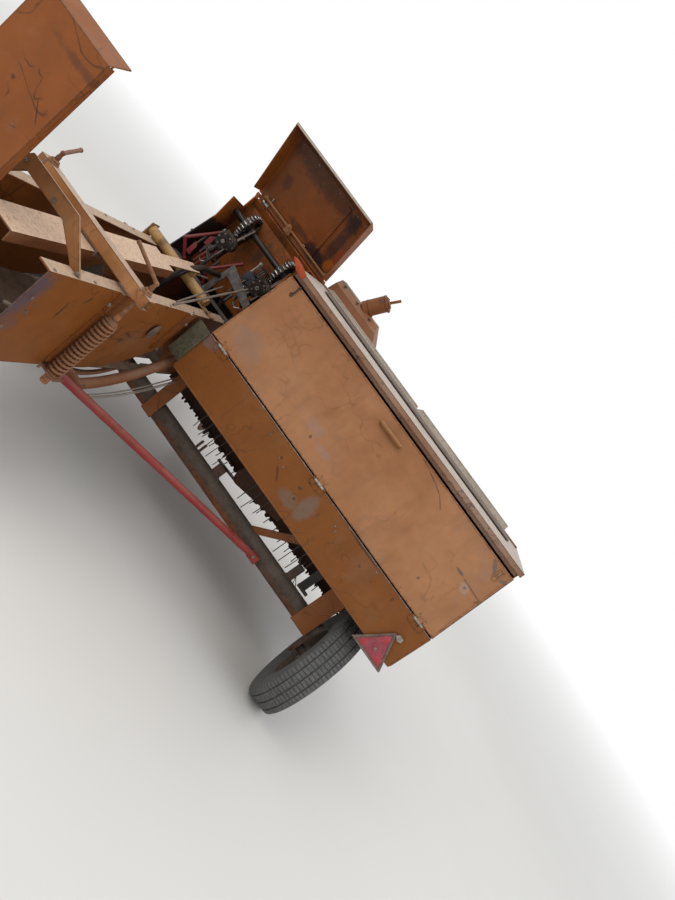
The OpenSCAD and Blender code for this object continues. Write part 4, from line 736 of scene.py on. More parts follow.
def door_hasp():
    """The rusty hasp over the right end of the upper seam, with a thin bent rod and a square patch plate."""
    hasp = Shape()
    x = BOX_R - 0.053
    strap = [(-0.011, -0.034), (0.011, -0.034), (0.0125, -0.028), (0.0125, 0.024), (0.009, 0.03),
             (-0.009, 0.03), (-0.0125, 0.024), (-0.0125, -0.028)]
    hasp.plate(under_top(x, 0.042, -0.001), X, UP_DOOR, strap, -0.0055, 0.0015)
    for dx in (-0.0115, 0.0115):
        hasp.tube(line(under_top(x + dx, 0.072, 0.0045), under_top(x + dx, 0.018, 0.0045), 6), 0.0028, 8)
    for down in (0.062, 0.048, 0.022):
        hasp.rivet(under_top(x, down, 0.0045), OUT_DOOR, 0.0048)
    hasp.turned(under_top(x, 0.074, -0.001), OUT_DOOR, [(0, 0.010), (0.006, 0.010), (0.008, 0.007)], 16)
    hasp.done("door_hasp", "twine_door", "rusty_steel", FINISH["density_springs"])
    rod = Shape()
    bend = [on_door(2.073, 0.268, 0.002), on_door(2.068, 0.258, 0.002), on_door(2.063, 0.25, 0.001)]
    rod.tube(line(on_door(1.955, 0.279, 0.001), on_door(2.0675, 0.2736, 0.001), 9) + bend, 0.0028, 8)
    rod.done("door_rod", "twine_door", "rusty_steel", FINISH["density_screws"])
    square = Shape()
    corners = ellipse(0.017, 0.017, 4, math.radians(38))
    square.plate(on_door(1.987, 0.256, -0.0005), X, UP_DOOR, corners, -0.002, 0.0006)
    knob = [(0, 0.0065), (0.0012, 0.006), (0.0016, 0.003)]
    square.turned(on_door(1.987, 0.256, 0.001), OUT_DOOR, knob, 14)
    square.done("door_patch_plate", "twine_door", "greasy_iron", WORN_STEEL)


def door_left_fold():
    """The narrow fold beside the door's left edge."""
    fold = Shape()
    outline = rectangle(0.017, DOOR_LENGTH - 0.012)
    fold.plate(on_door(BOX_L + 0.0008, 0.004, -0.0008), X, UP_DOOR, outline, -0.0022, 0.0007)
    fold.done("door_left_fold", "twine_door", "faded_paint", LIP_PINK)


def sleeve(shape, start, length):
    """One part of a hinge sleeve, from a place on the hinge axis."""
    soft = 0.001
    end = KNUCKLE_R - soft
    shape.turned(start, X, [(0, end), (soft, KNUCKLE_R), (length - soft, KNUCKLE_R), (length, end)], 16)


def hinges():
    """Painted leaves, and pale sleeves of three parts each round the door's hinge knuckles."""
    upper, lower, middle, outer = Shape(), Shape(), Shape(), Shape()
    leaf = [(-0.034, 0), (0.034, 0), (0.034, 0.020), (0.028, 0.025), (-0.028, 0.025), (-0.034, 0.020)]
    box_y = DOOR_BACK - SHEET
    for x in HINGE_X:
        upper.plate(on_door(x, 0.012, -0.001), X, UP_DOOR, leaf, -0.003, 0.0008)
        lower.plate(at(x, box_y - 0.0015, KNUCKLE_Z - 0.038), X, Z, leaf, 0.002, 0.0006)
        for dx in (-0.022, 0.022):
            upper.rivet(on_door(x + dx, 0.027, 0.001), OUT_DOOR, 0.0045)
            lower.rivet(at(x + dx, box_y - 0.0035, KNUCKLE_Z - 0.027), -Y, 0.0045)
        axis = at(x, KNUCKLE_Y, KNUCKLE_Z)
        sleeve(middle, axis - X * 0.0095, 0.019)
        for start in (-0.031, 0.0105):
            sleeve(outer, axis + X * start, 0.0205)
    upper.done("hinge_leaves_door", "twine_door", "faded_paint")
    lower.done("hinge_leaves_box", "chassis", "orange_paint", FINISH["box_rear_panel"])
    middle.done("hinge_sleeves_door", "twine_door", "rusty_steel", PALE_STEEL)
    outer.done("hinge_sleeves_box", "chassis", "rusty_steel", PALE_STEEL)


def box_seams():
    """Folded edges of the side panels and the apron, the lip under the door's seam, the right fold."""
    trim = Shape()
    for x in (BOX_L + 0.002, BOX_R - 0.002):
        trim.tube([at(x, DOOR_BACK - 0.006, BOX_LOW + 0.004), at(x, DOOR_BACK - 0.001, DOOR_HINGE_Z - 0.01)],
                  0.004, 8)
    y, z = DOOR_BACK - 0.009, BOX_LOW + 0.003
    trim.tube(line(at(BOX_L + 0.01, y, z), at(BOX_R - 0.01, y, z), 20), 0.0045, 8)
    trim.done("box_folds", "chassis", "orange_paint", FINISH["box_rear_panel"])
    lip = Shape()
    y, z = DOOR_BACK - 0.0042, APRON_HIGH - 0.0085
    lip.tube(line(at(BOX_L + 0.004, y, z), at(BOX_R - 0.004, y, z), 30), 0.0030, 8)
    lip.done("apron_lip", "chassis", "faded_paint", LIP_PINK)
    fold = Shape()
    wide, thick, slope = 0.015, 0.0065, DOOR_LEAN / DOOR_RISE
    for low, high, back, lean in ((BOX_LOW + 0.01, DOOR_HINGE_Z - 0.006, DOOR_BACK - 0.003, 0),
                                  (DOOR_HINGE_Z, 1.405, DOOR_BACK + 0.002, slope * (1.405 - DOOR_HINGE_Z))):
        outline = [(back, low), (back + wide, low), (back + wide + lean, high), (back + lean, high)]
        fold.plate(at(BOX_R - 0.0005, 0, 0), Y, Z, outline, thick, 0.002)
    fold.done("box_right_fold", "chassis", "faded_paint", LIP_PINK)


def cap_fittings():
    """Dark strip along the cap, the pale folded lip behind it and the lug at its left end."""
    # a dark strip along the top of the cap
    dark_strip = Shape()
    dark_strip.block(at(BOX_L + 0.09, 0.13, top_hi.z - 0.004), at(BOX_R - 0.10, 0.325, top_hi.z + 0.0022), 0.0018)
    dark_strip.done("cap_dark_strip", "chassis", "tyre_rubber", CAP_STRIP)
    lip = Shape()
    foot = top_hi.z - 0.004
    for start, end, height in ((BOX_L + 0.02, 1.19, 0.014), (1.18, BOX_R - 0.11, 0.024)):
        crest = top_hi.z + height
        outline = [(start, foot), (end, foot), (end - 0.006, crest), (start + 0.03, crest)]
        lip.plate(at(0, top_hi.y - 0.012, 0), X, Z, outline, 0.003, 0.001)
        y = top_hi.y - 0.0135
        lip.tube(line(at(start + 0.032, y, crest), at(end - 0.008, y, crest), 20), 0.0032, 8)
    lip.done("cap_back_lip", "chassis", "faded_paint", LIP_PALE)
    lug = Shape()
    tip = [(-0.058, 0.012), (0.0, -0.02), (0.05, -0.024), (0.05, 0.006), (0.0, 0.018), (-0.04, 0.02)]
    lug.plate(at(BOX_L, top_lo.y + 0.002, top_hi.z - 0.012), X, Z, tip, 0.007, 0.0015)
    lug.done("cap_lug", "chassis", "red_paint",
             painted("lug_paint", "a8451f", "b4603a", fade=0.4, rust=0.4, dust=0.2))


# x and z of the rivets in the apron, y and z of the bolts in the box's right side
APRON_RIVETS = ((1.015, 0.872), (1.06, 0.862), (0.905, 0.905), (1.42, 0.90), (1.44, 0.886), (1.70, 0.93),
                (0.78, 0.935))
SIDE_BOLTS = ((-0.15, 0.75), (-0.15, 0.9), (0.05, 0.75), (0.3, 0.75), (0.55, 0.75), (0.75, 0.97),
              (0.77, 1.15), (0.39, 1.41), (0.1, 1.41), (-0.09, 1.41), (0.39, 1.1), (0.39, 0.98))
APRON_LEAN = 0.02


def box_rivets():
    bolts = Shape()
    for x, z in APRON_RIVETS:
        y = DOOR_BACK - SHEET - 0.0015 - (DOOR_HINGE_Z - z) * APRON_LEAN
        bolts.rivet(at(x, y, z), -Y, 0.0055)
    y, z = top_lo.y - 0.0002, top_hi.z - 0.016
    for seat in line(at(BOX_L + 0.05, y, z), at(BOX_R - 0.05, y, z), 8):
        bolts.rivet(seat, -Y, 0.0045)
    for y, z in SIDE_BOLTS:
        bolts.bolt(at(BOX_R - 0.0002, y, z), X, 0.006)
    bolts.done("box_rivets", "chassis", "rusty_steel", WORN_STEEL)


def reflector_fittings():
    """Steel rim, inner field and three round spots of the triangle, with its bolts and a bent tab."""
    lo, hi = measured("reflector")
    side = hi.x - lo.x
    height = side * math.sin(math.radians(60))
    center = Vector((side / 2, height / 3))
    corners = [Vector((0, 0)), Vector((side, 0)), Vector((side / 2, height))]
    origin = at(lo.x, lo.y, lo.z)

    def inset(scale):
        return [tuple(center + (corner - center) * scale) for corner in corners]

    rim = Shape()
    ends = [origin + X * a + Z * b for a, b in inset(0.93)]
    for start, end in zip(ends, ends[1:] + ends[:1]):
        rim.tube([start, end], 0.0062, 8)
    rim.done("reflector_rim", "chassis", "greasy_iron", WORN_STEEL)
    field = Shape()
    field.plate(origin - Y * 0.0002, X, Z, inset(0.82), 0.0022, 0.0008)
    field.done("reflector_field", "chassis", "reflector_red")
    spots = Shape()
    dome = [(0, 0.0215), (0.002, 0.0205), (0.0035, 0.017), (0.004, 0.006)]
    for a, b in inset(0.50):
        spots.turned(origin + X * a + Z * b - Y * 0.0015, -Y, dome, 26)
    spots.done("reflector_spots", "chassis", "reflector_red", PRISM_SPOT)
    bolt = Shape()
    bolt.bolt(origin + X * (side * 0.52) + Z * (side * 0.27) - Y * 0.003, -Y, 0.0055)
    tab = [(-0.012, -0.004), (0.014, -0.016), (0.03, -0.008), (0.026, 0.012), (0.0, 0.014)]
    bolt.plate(origin + X * (side * 0.58) + Z * (side * 0.84) - Y * 0.001, X, Z, tab, 0.002, 0.0006)
    bolt.bolt(origin + X * (side * 0.64) + Z * (side * 0.835) - Y * 0.003, -Y, 0.0045)
    bolt.done("reflector_bolts", "chassis", "rusty_steel", PALE_STEEL)


# y and z of the bolts on the chamber's ribs, y of the rivets on its flanges, z of those at its mouth
RIB_BOLTS = ((-0.976, 0.54), (-0.976, 0.9), (-0.299, 0.72), (-0.299, 0.9), (0.81, 0.56), (0.81, 0.9),
             (1.41, 0.56), (1.41, 0.72), (1.41, 0.9))
FLANGE_RIVETS = (-1.33, -1.1, -0.7, -0.5, -0.25, 0.0)
MOUTH_RIVETS = (0.56, 0.7, 0.84)
SIDES = (-1, 1)


def chamber_fittings():
    """The blank oval plate, bolts and rivets, the hay retainer stub in the mouth, and two thin rods from
    the wall up to the knotters."""
    plate = Shape()
    middle = at(HALF_W, -0.454, 0.805)
    plate.plate(middle, Y, Z, ellipse(0.030, 0.042, 28), 0.002, 0.0006)
    for dz in (-0.033, 0.033):
        plate.rivet(middle + Z * dz + X * 0.002, X, 0.003)
    plate.done("blank_plate", "chassis", "greasy_iron", WORN_STEEL)
    bolts = Shape()
    for y, z in RIB_BOLTS:
        for side in SIDES:
            bolts.bolt(at(side * (HALF_W + 0.012), y, z), X * side, 0.007)
    for y in FLANGE_RIVETS:
        for side in SIDES:
            bolts.rivet(at(side * (HALF_W - 0.022), y, wall_hi.z), Z, 0.007)
    for side in SIDES:
        for z in MOUTH_RIVETS:
            bolts.rivet(at(side * HALF_W, -1.335, z), X * side, 0.006)
    bolts.done("chamber_bolts", "chassis", "rusty_steel", WORN_STEEL)
    rods = Shape()
    foot_z = wall_hi.z + 0.004
    rods.rod(at(HALF_W - 0.07, -1.31, 0.74), at(HALF_W - 0.007, -1.28, 0.77), 0.008)
    rods.rod(at(HALF_W - 0.03, -0.47, foot_z), at(HALF_W - 0.06, 0.1, 1.16), 0.0055)
    rods.rod(at(HALF_W - 0.06, -0.39, foot_z), at(HALF_W - 0.16, 0.12, 1.06), 0.0045)
    rods.done("trip_rods", "chassis", "rusty_steel", WORN_STEEL)


HOOD_LEAN = math.radians(30)
HOOD_Y, HOOD_Z, HOOD_LENGTH = 0.390, 1.465, 0.42
HOOD_TIP = HOOD_LENGTH + 0.0655
UP_HOOD = Vector((0, -math.sin(HOOD_LEAN), math.cos(HOOD_LEAN)))
OUT_HOOD = Vector((0, -math.cos(HOOD_LEAN), -math.sin(HOOD_LEAN)))


def on_hood(x, along, out=0.0):
    """Place on the open hood's inner face: x, the way up from the hinge, and the distance off the face."""
    return at(x, HOOD_Y, HOOD_Z) + UP_HOOD * along + OUT_HOOD * out


def hood_gear():
    """The second rod in its three brackets, the rusty latch plate, and the coil that helps the hood up."""
    lo, hi = measured("knotter_cover")
    rod = Shape()
    along = 0.037
    rod.rod(on_hood(lo.x + 0.05, along, 0.013), on_hood(hi.x - 0.012, along, 0.013), 0.0068)
    half = Vector((0.008, 0.008, 0.008))
    for x in (lo.x + 0.062, 0.13, hi.x - 0.03):
        middle = on_hood(x, along, 0.006)
        rod.block(middle - half, middle + half, 0.003, Matrix.Rotation(HOOD_LEAN, 3, "X"))
    rod.done("hood_second_rod", "knotter_cover", "orange_paint", FINISH["tie_arch"])
    latch = Shape()
    outline = [(-0.028, 0.008), (-0.012, 0.004), (0.014, 0.004), (0.026, 0.010), (0.022, 0.034),
               (0.012, 0.058), (-0.006, 0.066), (-0.02, 0.05), (-0.018, 0.024)]
    latch.plate(on_hood(0.008, 0.0, 0.022), X, UP_HOOD, outline, -0.006, 0.002)
    latch.bolt(on_hood(0.004, 0.046, 0.022), OUT_HOOD, 0.0075)
    latch.bolt(on_hood(0.012, 0.020, 0.022), OUT_HOOD, 0.006)
    latch.done("hood_latch", "knotter_cover", "rusty_steel", FINISH["density_springs"])
    coil = Shape()
    wire = 0.0026
    coil.coil(on_hood(-0.208, 0.0, 0.0), X, 0.0125, wire, 9, 0.045)
    leg = [on_hood(-0.165, 0.0, 0.0125), on_hood(-0.163, 0.03, 0.012), on_hood(-0.163, 0.07, 0.006)]
    coil.tube(leg, wire, 6)
    coil.done("hood_spring", "knotter_cover", "greasy_iron", BRIGHT)


def hood_edges():
    """The hood's folded outer edges, its pale lip and its rivets."""
    lo, hi = measured("knotter_cover")
    edge = Shape()
    for x in (lo.x + 0.002, hi.x - 0.002):
        run = [on_hood(x, 0.058, 0.0745), on_hood(x, 0.25, 0.0795), on_hood(x, HOOD_TIP, 0.0845)]
        edge.tube(run, 0.0033, 8)
    edge.done("hood_edge", "knotter_cover", "orange_paint", FINISH["knotter_cover"])
    lip = Shape()
    along, out = HOOD_TIP - 0.002, 0.0835
    lip.tube(line(on_hood(lo.x + 0.003, along, out), on_hood(hi.x - 0.003, along, out), 16), 0.0052, 8)
    lip.done("hood_lip", "knotter_cover", "orange_paint", LIP_PALE)
    rivets = Shape()
    for x in (lo.x + 0.05, -0.08, 0.1, 0.25, hi.x - 0.04):
        rivets.rivet(on_hood(x, HOOD_LENGTH - 0.020, 0.0), OUT_HOOD, 0.006)
    for along in (0.1, 0.2, 0.31):
        rivets.rivet(on_hood(hi.x - 0.161, along, 0.006), OUT_HOOD, 0.005)
    rivets.done("hood_rivets", "knotter_cover", "rusty_steel", WORN_STEEL)


TREAD_PITCHES = 92
# columns: offset from the tyre's middle plane as a share of its half width, height over the rim's bead seat
BEAD_WALL = ((0.62, 0), (0.73, 0.004), (0.79, 0.012), (0.86, 0.017), (0.93, 0.032))
# columns: the same share, depth under the tyre's radius, depth cut by a sipe
OUTER_WALL = ((0.985, 0.07, 0), (1.0, 0.060, 0), (1.0, 0.055, 0), (0.992, 0.053, 0), (0.99, 0.038, 0),
              (0.965, 0.024, 0.002), (0.93, 0.014, 0.004), (0.87, 0.006, 0.005))
TREAD = ((0.80, 0.003, 0.005), (0.70, 0.0012, 0.005), (0.56, 0.0005, 0.005), (0.54, 0.008, 0),
         (0.49, 0.008, 0), (0.47, 0, 0.0045), (0.26, 0, 0.0045), (0.05, 0, 0.0045), (0.03, 0.008, 0))
# within one pitch, a block and then a narrow sipe: share of the pitch, whether the sipe cuts there
PITCH_STEPS = ((0.0, 0), (0.80, 0), (0.84, 1), (0.96, 1))
SIPE_SLANT = 0.12


def tyre_mesh(node, body):
    """Road tyre: three grooves round the tread, sipes across its ribs, shoulder blocks, side wall rings."""
    lo, hi = measured(node)
    radius, half = (hi.z - lo.z) / 2, (hi.x - lo.x) / 2
    middle = at((lo.x + hi.x) / 2, 0, (lo.z + hi.z) / 2)
    rim_lo, rim_hi = measured(node.replace("tyre", "rim"))
    bead = (rim_hi.z - rim_lo.z) / 2 + 0.0007
    half_profile = [(share, bead + rise, 0) for share, rise in BEAD_WALL]
    half_profile += [(share, radius - depth, cut) for share, depth, cut in OUTER_WALL + TREAD]
    profile = half_profile + [(-share, r, cut) for share, r, cut in reversed(half_profile)]
    shape = Shape()
    rings = []
    for i in range(TREAD_PITCHES):
        for part, deep in PITCH_STEPS:
            points = []
            for share, r, cut in profile:
                slant = SIPE_SLANT * share * (1 if abs(share) < 0.5 else 0.6)
                angle = 2 * math.pi * (i + part + slant) / TREAD_PITCHES
                out = Y * math.sin(angle) + Z * math.cos(angle)
                points.append(middle + X * share * half + out * (r - cut * deep))
            rings.append(shape.ring(points))
    shape.skin(rings, True)
    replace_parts(shape.done(node + "_tread", body, "tyre_rubber", smooth=30), node)


def wheel_fittings(tyre, body, side):
    """Wheel nuts, the hub's cap and the valve, on the side that faces away from the machine."""
    lo, hi = measured(tyre)
    hub = at((lo.x + hi.x) / 2, 0, (lo.z + hi.z) / 2)
    out = X * side
    nuts = Shape()
    for seat in around(hub + out * 0.040, Z, Y, 0.066, 5, math.pi / 5):
        nuts.bolt(seat, out, 0.0095, 0.006)
    nuts.turned(hub + out * 0.0625, out, [(0, 0.031), (0.004, 0.029), (0.007, 0.02), (0.008, 0.008)], 24)
    valve = [(0, 0.0055), (0.016, 0.005), (0.03, 0.0035), (0.036, 0.004)]
    nuts.turned(hub + out * 0.03 - Z * 0.146, out - Z * 0.15, valve, 10)
    nuts.done(tyre + "_nuts", body, "rim_paint", WORN_STEEL)


# Knotters and what stands round them
KNOTTER_X = (-0.125, 0.182)
KNOTTER_Y, KNOTTER_Z = 0.335, 1.320
CAM_TEETH = 22
DISC_FACE = Vector((0.12, -0.98, -0.16)).normalized()
DISC_SIDE, DISC_UP = across(DISC_FACE)


def knotter_head(x, beads, worn, dark, bright):
    """What sits on one knotter: tooth tips, bolts, covers, springs, hook and levers, in four finishes."""
    shaft = at(x, KNOTTER_Y, KNOTTER_Z)

    def near(dx, dy, dz):
        return shaft + Vector((dx, dy, dz))

    tooth = [(0, 0.003), (0.005, 0.0052), (0.0168, 0.006), (0.0286, 0.0052), (0.0336, 0.003)]
    for tip in around(shaft - X * 0.0168, Z, -Y, 0.0808, CAM_TEETH):
        beads.turned(tip, X, tooth, 12)
    for dy, dz in ((-0.052, -0.05), (-0.085, -0.13), (-0.085, -0.235)):
        worn.bolt(near(0.0441, dy, dz), X, 0.0065)
    for seat in around(near(0.019, -0.138, -0.128), DISC_SIDE, DISC_UP, 0.035, 6, 0.3):
        worn.bolt(seat, DISC_FACE, 0.005)
    bright.bolt(near(0.0225, -0.1525, -0.131), DISC_FACE, 0.009)
    # gear casting, round cover with its bolts, and a grease nipple
    dark.block(near(0.004, -0.135, -0.108), near(0.058, -0.088, -0.076), 0.005)
    cover = near(0.046, -0.10, -0.115)
    lid = [(0, 0.036), (0.004, 0.039), (0.026, 0.039), (0.034, 0.033), (0.036, 0.018), (0.044, 0.017),
           (0.046, 0.012)]
    dark.turned(cover, DISC_FACE, lid, 30)
    for seat in around(cover + DISC_FACE * 0.0335, DISC_SIDE, DISC_UP, 0.026, 5):
        worn.bolt(seat, DISC_FACE, 0.0038)
    nipple = [(0, 0.007), (0.006, 0.007), (0.008, 0.0035), (0.016, 0.0035), (0.018, 0.002)]
    dark.turned(near(0.034, 0.0, 0.031), Z, nipple, 12)
    # twine holder's spring with its two eyes
    top, length, wire = near(-0.046, -0.072, -0.10), 0.105, 0.0021
    lean = Vector((0, -0.25, -1))
    bright.coil(top, lean, 0.0095, wire, 13, length, 14)
    for end in (0.0, length):
        bright.tube(arc(top + lean * end, Y, Z, 0.009, -80, 200, 10), wire, 6)
    # knife arm, bill hook and lever
    blade = [(-0.085, -0.155), (-0.10, -0.15), (-0.137, -0.2), (-0.151, -0.262), (-0.14, -0.27),
             (-0.118, -0.212), (-0.09, -0.176)]
    worn.plate(near(-0.066, 0, 0), Y, Z, blade, 0.004, 0.001)
    bright.tube([near(-0.02, -0.06, -0.20), near(-0.024, -0.10, -0.245), near(-0.008, -0.135, -0.282),
                 near(0.022, -0.15, -0.29), near(0.04, -0.142, -0.272)], 0.0036, 8)
    worn.tube([near(0.048, -0.03, 0.02), near(0.052, -0.075, -0.03), near(0.052, -0.12, -0.12),
               near(0.046, -0.135, -0.2)], 0.0042, 8)


# columns: x, upper end, lower end, y of the levers that hang below the knotters
HUNG_LEVERS = ((-0.078, 1.12, 0.985, 0.17), (-0.05, 1.10, 0.975, 0.20), (0.15, 1.06, 0.975, 0.15))


def knotter_fittings():
    beads, worn, dark, bright = Shape(), Shape(), Shape(), Shape()
    for x in KNOTTER_X:
        knotter_head(x, beads, worn, dark, bright)
    beads.done("knotter_tooth_tips", "chassis", "greasy_iron", BRIGHT)
    worn.done("knotter_bolts", "chassis", "greasy_iron", WORN_STEEL)
    bright.done("knotter_springs", "chassis", "greasy_iron", BRIGHT)

    # dark box, fittings and coil to the left of the right-hand knotter
    cap = Shape()
    cap.block(at(0.088, 0.226, 1.146), at(0.146, 0.262, 1.204), 0.006)
    cap.turned(at(0.117, 0.2265, 1.178), -Y, [(0, 0.015), (0.005, 0.014), (0.008, 0.008)], 18)
    cap.done("knotter_box", "chassis", "greasy_iron", rubber("navy_plastic", "182334", "4a545f", 0.3))
    dark.tube([at(0.117, 0.244, 1.15), at(0.117, 0.248, 1.04), at(0.112, 0.25, 0.972)], 0.009, 10)
    dark.block(at(0.153, 0.2, 1.152), at(0.178, 0.226, 1.176), 0.004)
    for x, top, low, y in HUNG_LEVERS:
        dark.tube([at(x, y + 0.03, top), at(x + 0.006, y, (top + low) / 2), at(x + 0.002, y + 0.01, low)],
                  0.0085, 10)
    # black bent lever from the knotters down into the chamber, in front of the cross tube
    dark.tube([at(0.03, 0.16, 1.07), at(0.008, 0.02, 1.055), at(0.004, -0.095, 1.015),
               at(-0.012, -0.112, 0.93), at(-0.018, -0.12, 0.83), at(-0.012, -0.10, 0.70)], 0.0165, 12)
    dark.done("knotter_levers", "chassis", "greasy_iron")
    pale = Shape()
    pale.rod(at(0.098, 0.25, 1.262), at(0.094, 0.25, 1.196), 0.0055)
    pale.turned(at(0.098, 0.25, 1.262), Z, [(0, 0.010), (0.012, 0.010), (0.016, 0.006)], 6)
    pale.block(at(0.196, 0.205, 1.162), at(0.228, 0.226, 1.204), 0.004)
    pale.tube([at(0.02, 0.12, 1.02), at(-0.005, 0.02, 1.0), at(-0.06, -0.08, 0.962)], 0.004, 8)
    pale.done("knotter_fittings", "chassis", "rusty_steel", PALE_STEEL)
    wide = Shape()
    wide.coil(at(0.120, 0.262, 1.234), Vector((0.9, -0.35, 0.1)), 0.031, 0.0032, 4, 0.062, 22)
    wide.done("knotter_wide_coil", "chassis", "greasy_iron")
    red = Shape()
    red.tube([at(-0.128, 0.24, 1.135), at(-0.124, 0.20, 1.08), at(-0.127, 0.185, 1.0)], 0.0062, 8)
    red.tube([at(-0.104, 0.24, 1.12), at(-0.102, 0.20, 1.07), at(-0.106, 0.18, 0.985)], 0.005, 8)
    upper = [(-0.016, 0.0), (0.014, 0.004), (0.012, 0.05), (-0.002, 0.066), (-0.018, 0.048)]
    lower = [(-0.012, 0), (0.02, 0), (0.014, 0.06), (-0.01, 0.075)]
    red.plate(at(-0.155, 0.205, 1.098), X, Z, upper, 0.005, 0.001)
    red.plate(at(-0.178, 0.172, 1.005), X, Z, lower, 0.005, 0.001)
    red.done("knotter_red_levers", "chassis", "red_paint", FINISH["twine_guides"])


def box_end_plate():
    """Dirty end plate between the chamber's wall and the box, with its folded side."""
    plate = Shape()
    left, y = 0.281, -0.2315
    rear = [(left, 0.748), (0.3635, 0.748), (0.3635, 0.953), (0.30, 0.957), (0.288, 0.948)]
    folded = [(0, 0), (0.10, 0.0), (0.10, 0.16), (0.03, 0.2), (0.0, 0.2)]
    plate.plate(at(0, y, 0), X, Z, rear, 0.004, 0.0012)
    plate.plate(at(left, y, 0.75), Y, Z, folded, 0.004, 0.001)
    plate.done("box_end_plate", "chassis", "rusty_steel", DIRTY_PLATE)


# Run of the thin strands beside the needle yoke, and each one's shift to the right, to the front, its radius
STRAND_RUN = ((0.372, 0.06, 0.660), (0.366, -0.04, 0.622), (0.362, -0.14, 0.578), (0.36, -0.23, 0.541),
              (0.358, -0.33, 0.509), (0.356, -0.43, 0.486), (0.352, -0.54, 0.466), (0.345, -0.66, 0.452))
STRANDS = ((0.0, 0.0, 0.0035), (0.016, 0.006, 0.003), (0.028, -0.012, 0.0026))


def yoke_straps():
    straps = Shape()
    for dx, dy, radius in STRANDS:
        straps.tube([at(x + dx, y + dy, z + 0.4 * dx) for x, y, z in STRAND_RUN], radius, 8)
    straps.block(at(0.35, 0.05, 0.655), at(0.41, 0.075, 0.69), 0.004)
    straps.block(at(0.338, -0.672, 0.447), at(0.372, -0.652, 0.463), 0.003)
    straps.done("yoke_straps", "chassis", "rusty_steel", PALE_STEEL)


SCREW_X, SCREW_Y = 0.302, -0.9


def screw_nuts():
    """Nuts, washers and collars of the density screws, and the plates beside their upper ends."""
    nuts = Shape()
    nut = [(0, 0.0175), (0.014, 0.0175), (0.016, 0.015)]
    lock_nut = [(0, 0.0175), (0.012, 0.0175), (0.014, 0.015)]
    for side in SIDES:
        x = side * SCREW_X
        nuts.turned(at(x, SCREW_Y, 0.508), -Z, nut, 6)
        nuts.turned(at(x, SCREW_Y, 0.492), -Z, lock_nut, 6, 0.5)
        nuts.turned(at(x, SCREW_Y, 1.0185), Z, [(0, 0.024), (0.004, 0.0235)], 24)
        nuts.turned(at(x, SCREW_Y, 1.0225), Z, [(0, 0.019), (0.008, 0.019), (0.0105, 0.0165)], 6)
        nuts.turned(at(x, SCREW_Y, 0.86), Z, [(0, 0.013), (0.02, 0.0125), (0.024, 0.011)], 16)
        nuts.turned(at(x, SCREW_Y, 0.535), Z, [(0, 0.0305), (0.004, 0.030)], 24)
    for x in (-0.343, 0.307):
        nuts.plate(at(x, -0.926, 0.9735), X, Z, rectangle(0.036, 0.04), 0.0012, 0.0004)
    nuts.done("density_nuts", "chassis", "rusty_steel", FINISH["density_springs"])


def chamber_extra_bolts():
    """Bolts of the arch, of the cross tube's foot plates and of the knotter frame."""
    bolts = Shape()
    for x in (-0.238, 0.238):
        bolts.bolt(at(x, -1.212, 0.956), Z, 0.008)
    bolts.bolt(at(0.0, -1.2055, 1.035), -Y, 0.008)
    bolts.bolt(at(-0.165, -1.2055, 1.04), -Y, 0.007)
    for y in (-0.07, -0.03):
        bolts.bolt(at(-0.29, y, 0.925), -X, 0.007)
        bolts.bolt(at(0.215, y, 0.958), Z, 0.006)
    for z in (1.0, 1.09):
        bolts.bolt(at(-0.2545, 0.19, z), -X, 0.008)
    bolts.done("chamber_extra_bolts", "chassis", "rusty_steel", WORN_STEEL)


FRINGE_Z = 0.512
TINE_TOP = 0.716
# columns: x and lower end of the thin tines, then x and lean of the two short ones
TINE_ENDS = ((0.600, 0.540), (0.655, 0.532), (0.719, 0.491), (0.767, 0.499), (0.822, 0.503), (1.031, 0.507),
             (1.082, 0.494), (1.139, 0.527), (1.351, 0.497), (1.404, 0.493), (1.456, 0.499), (1.509, 0.508),
             (1.676, 0.482))
SHORT_TINES = ((1.462, 0.10), (1.49, 0.05))


def dirt_fringe():
    """Ragged edge of dirt along the cross beam."""
    ragged = Shape()
    x = BOX_L + 0.03
    while x < BOX_R - 0.20:
        wide = random.uniform(0.012, 0.045)
        deep = random.uniform(0.004, 0.022) * (1.6 if random.random() < 0.2 else 1)
        outline = [(0, 0), (wide, 0)]
        outline += [(wide * (1 - k / 4), -deep * random.uniform(0.55, 1.1)) for k in range(1, 4)]
        ragged.plate(at(x, 0.236 - random.uniform(0, 0.012), FRINGE_Z), X, Z, outline, 0.006)
        x += wide * random.uniform(0.75, 1.3)
    ragged.done("dirt_fringe", "chassis", "rusty_steel", DIRT)


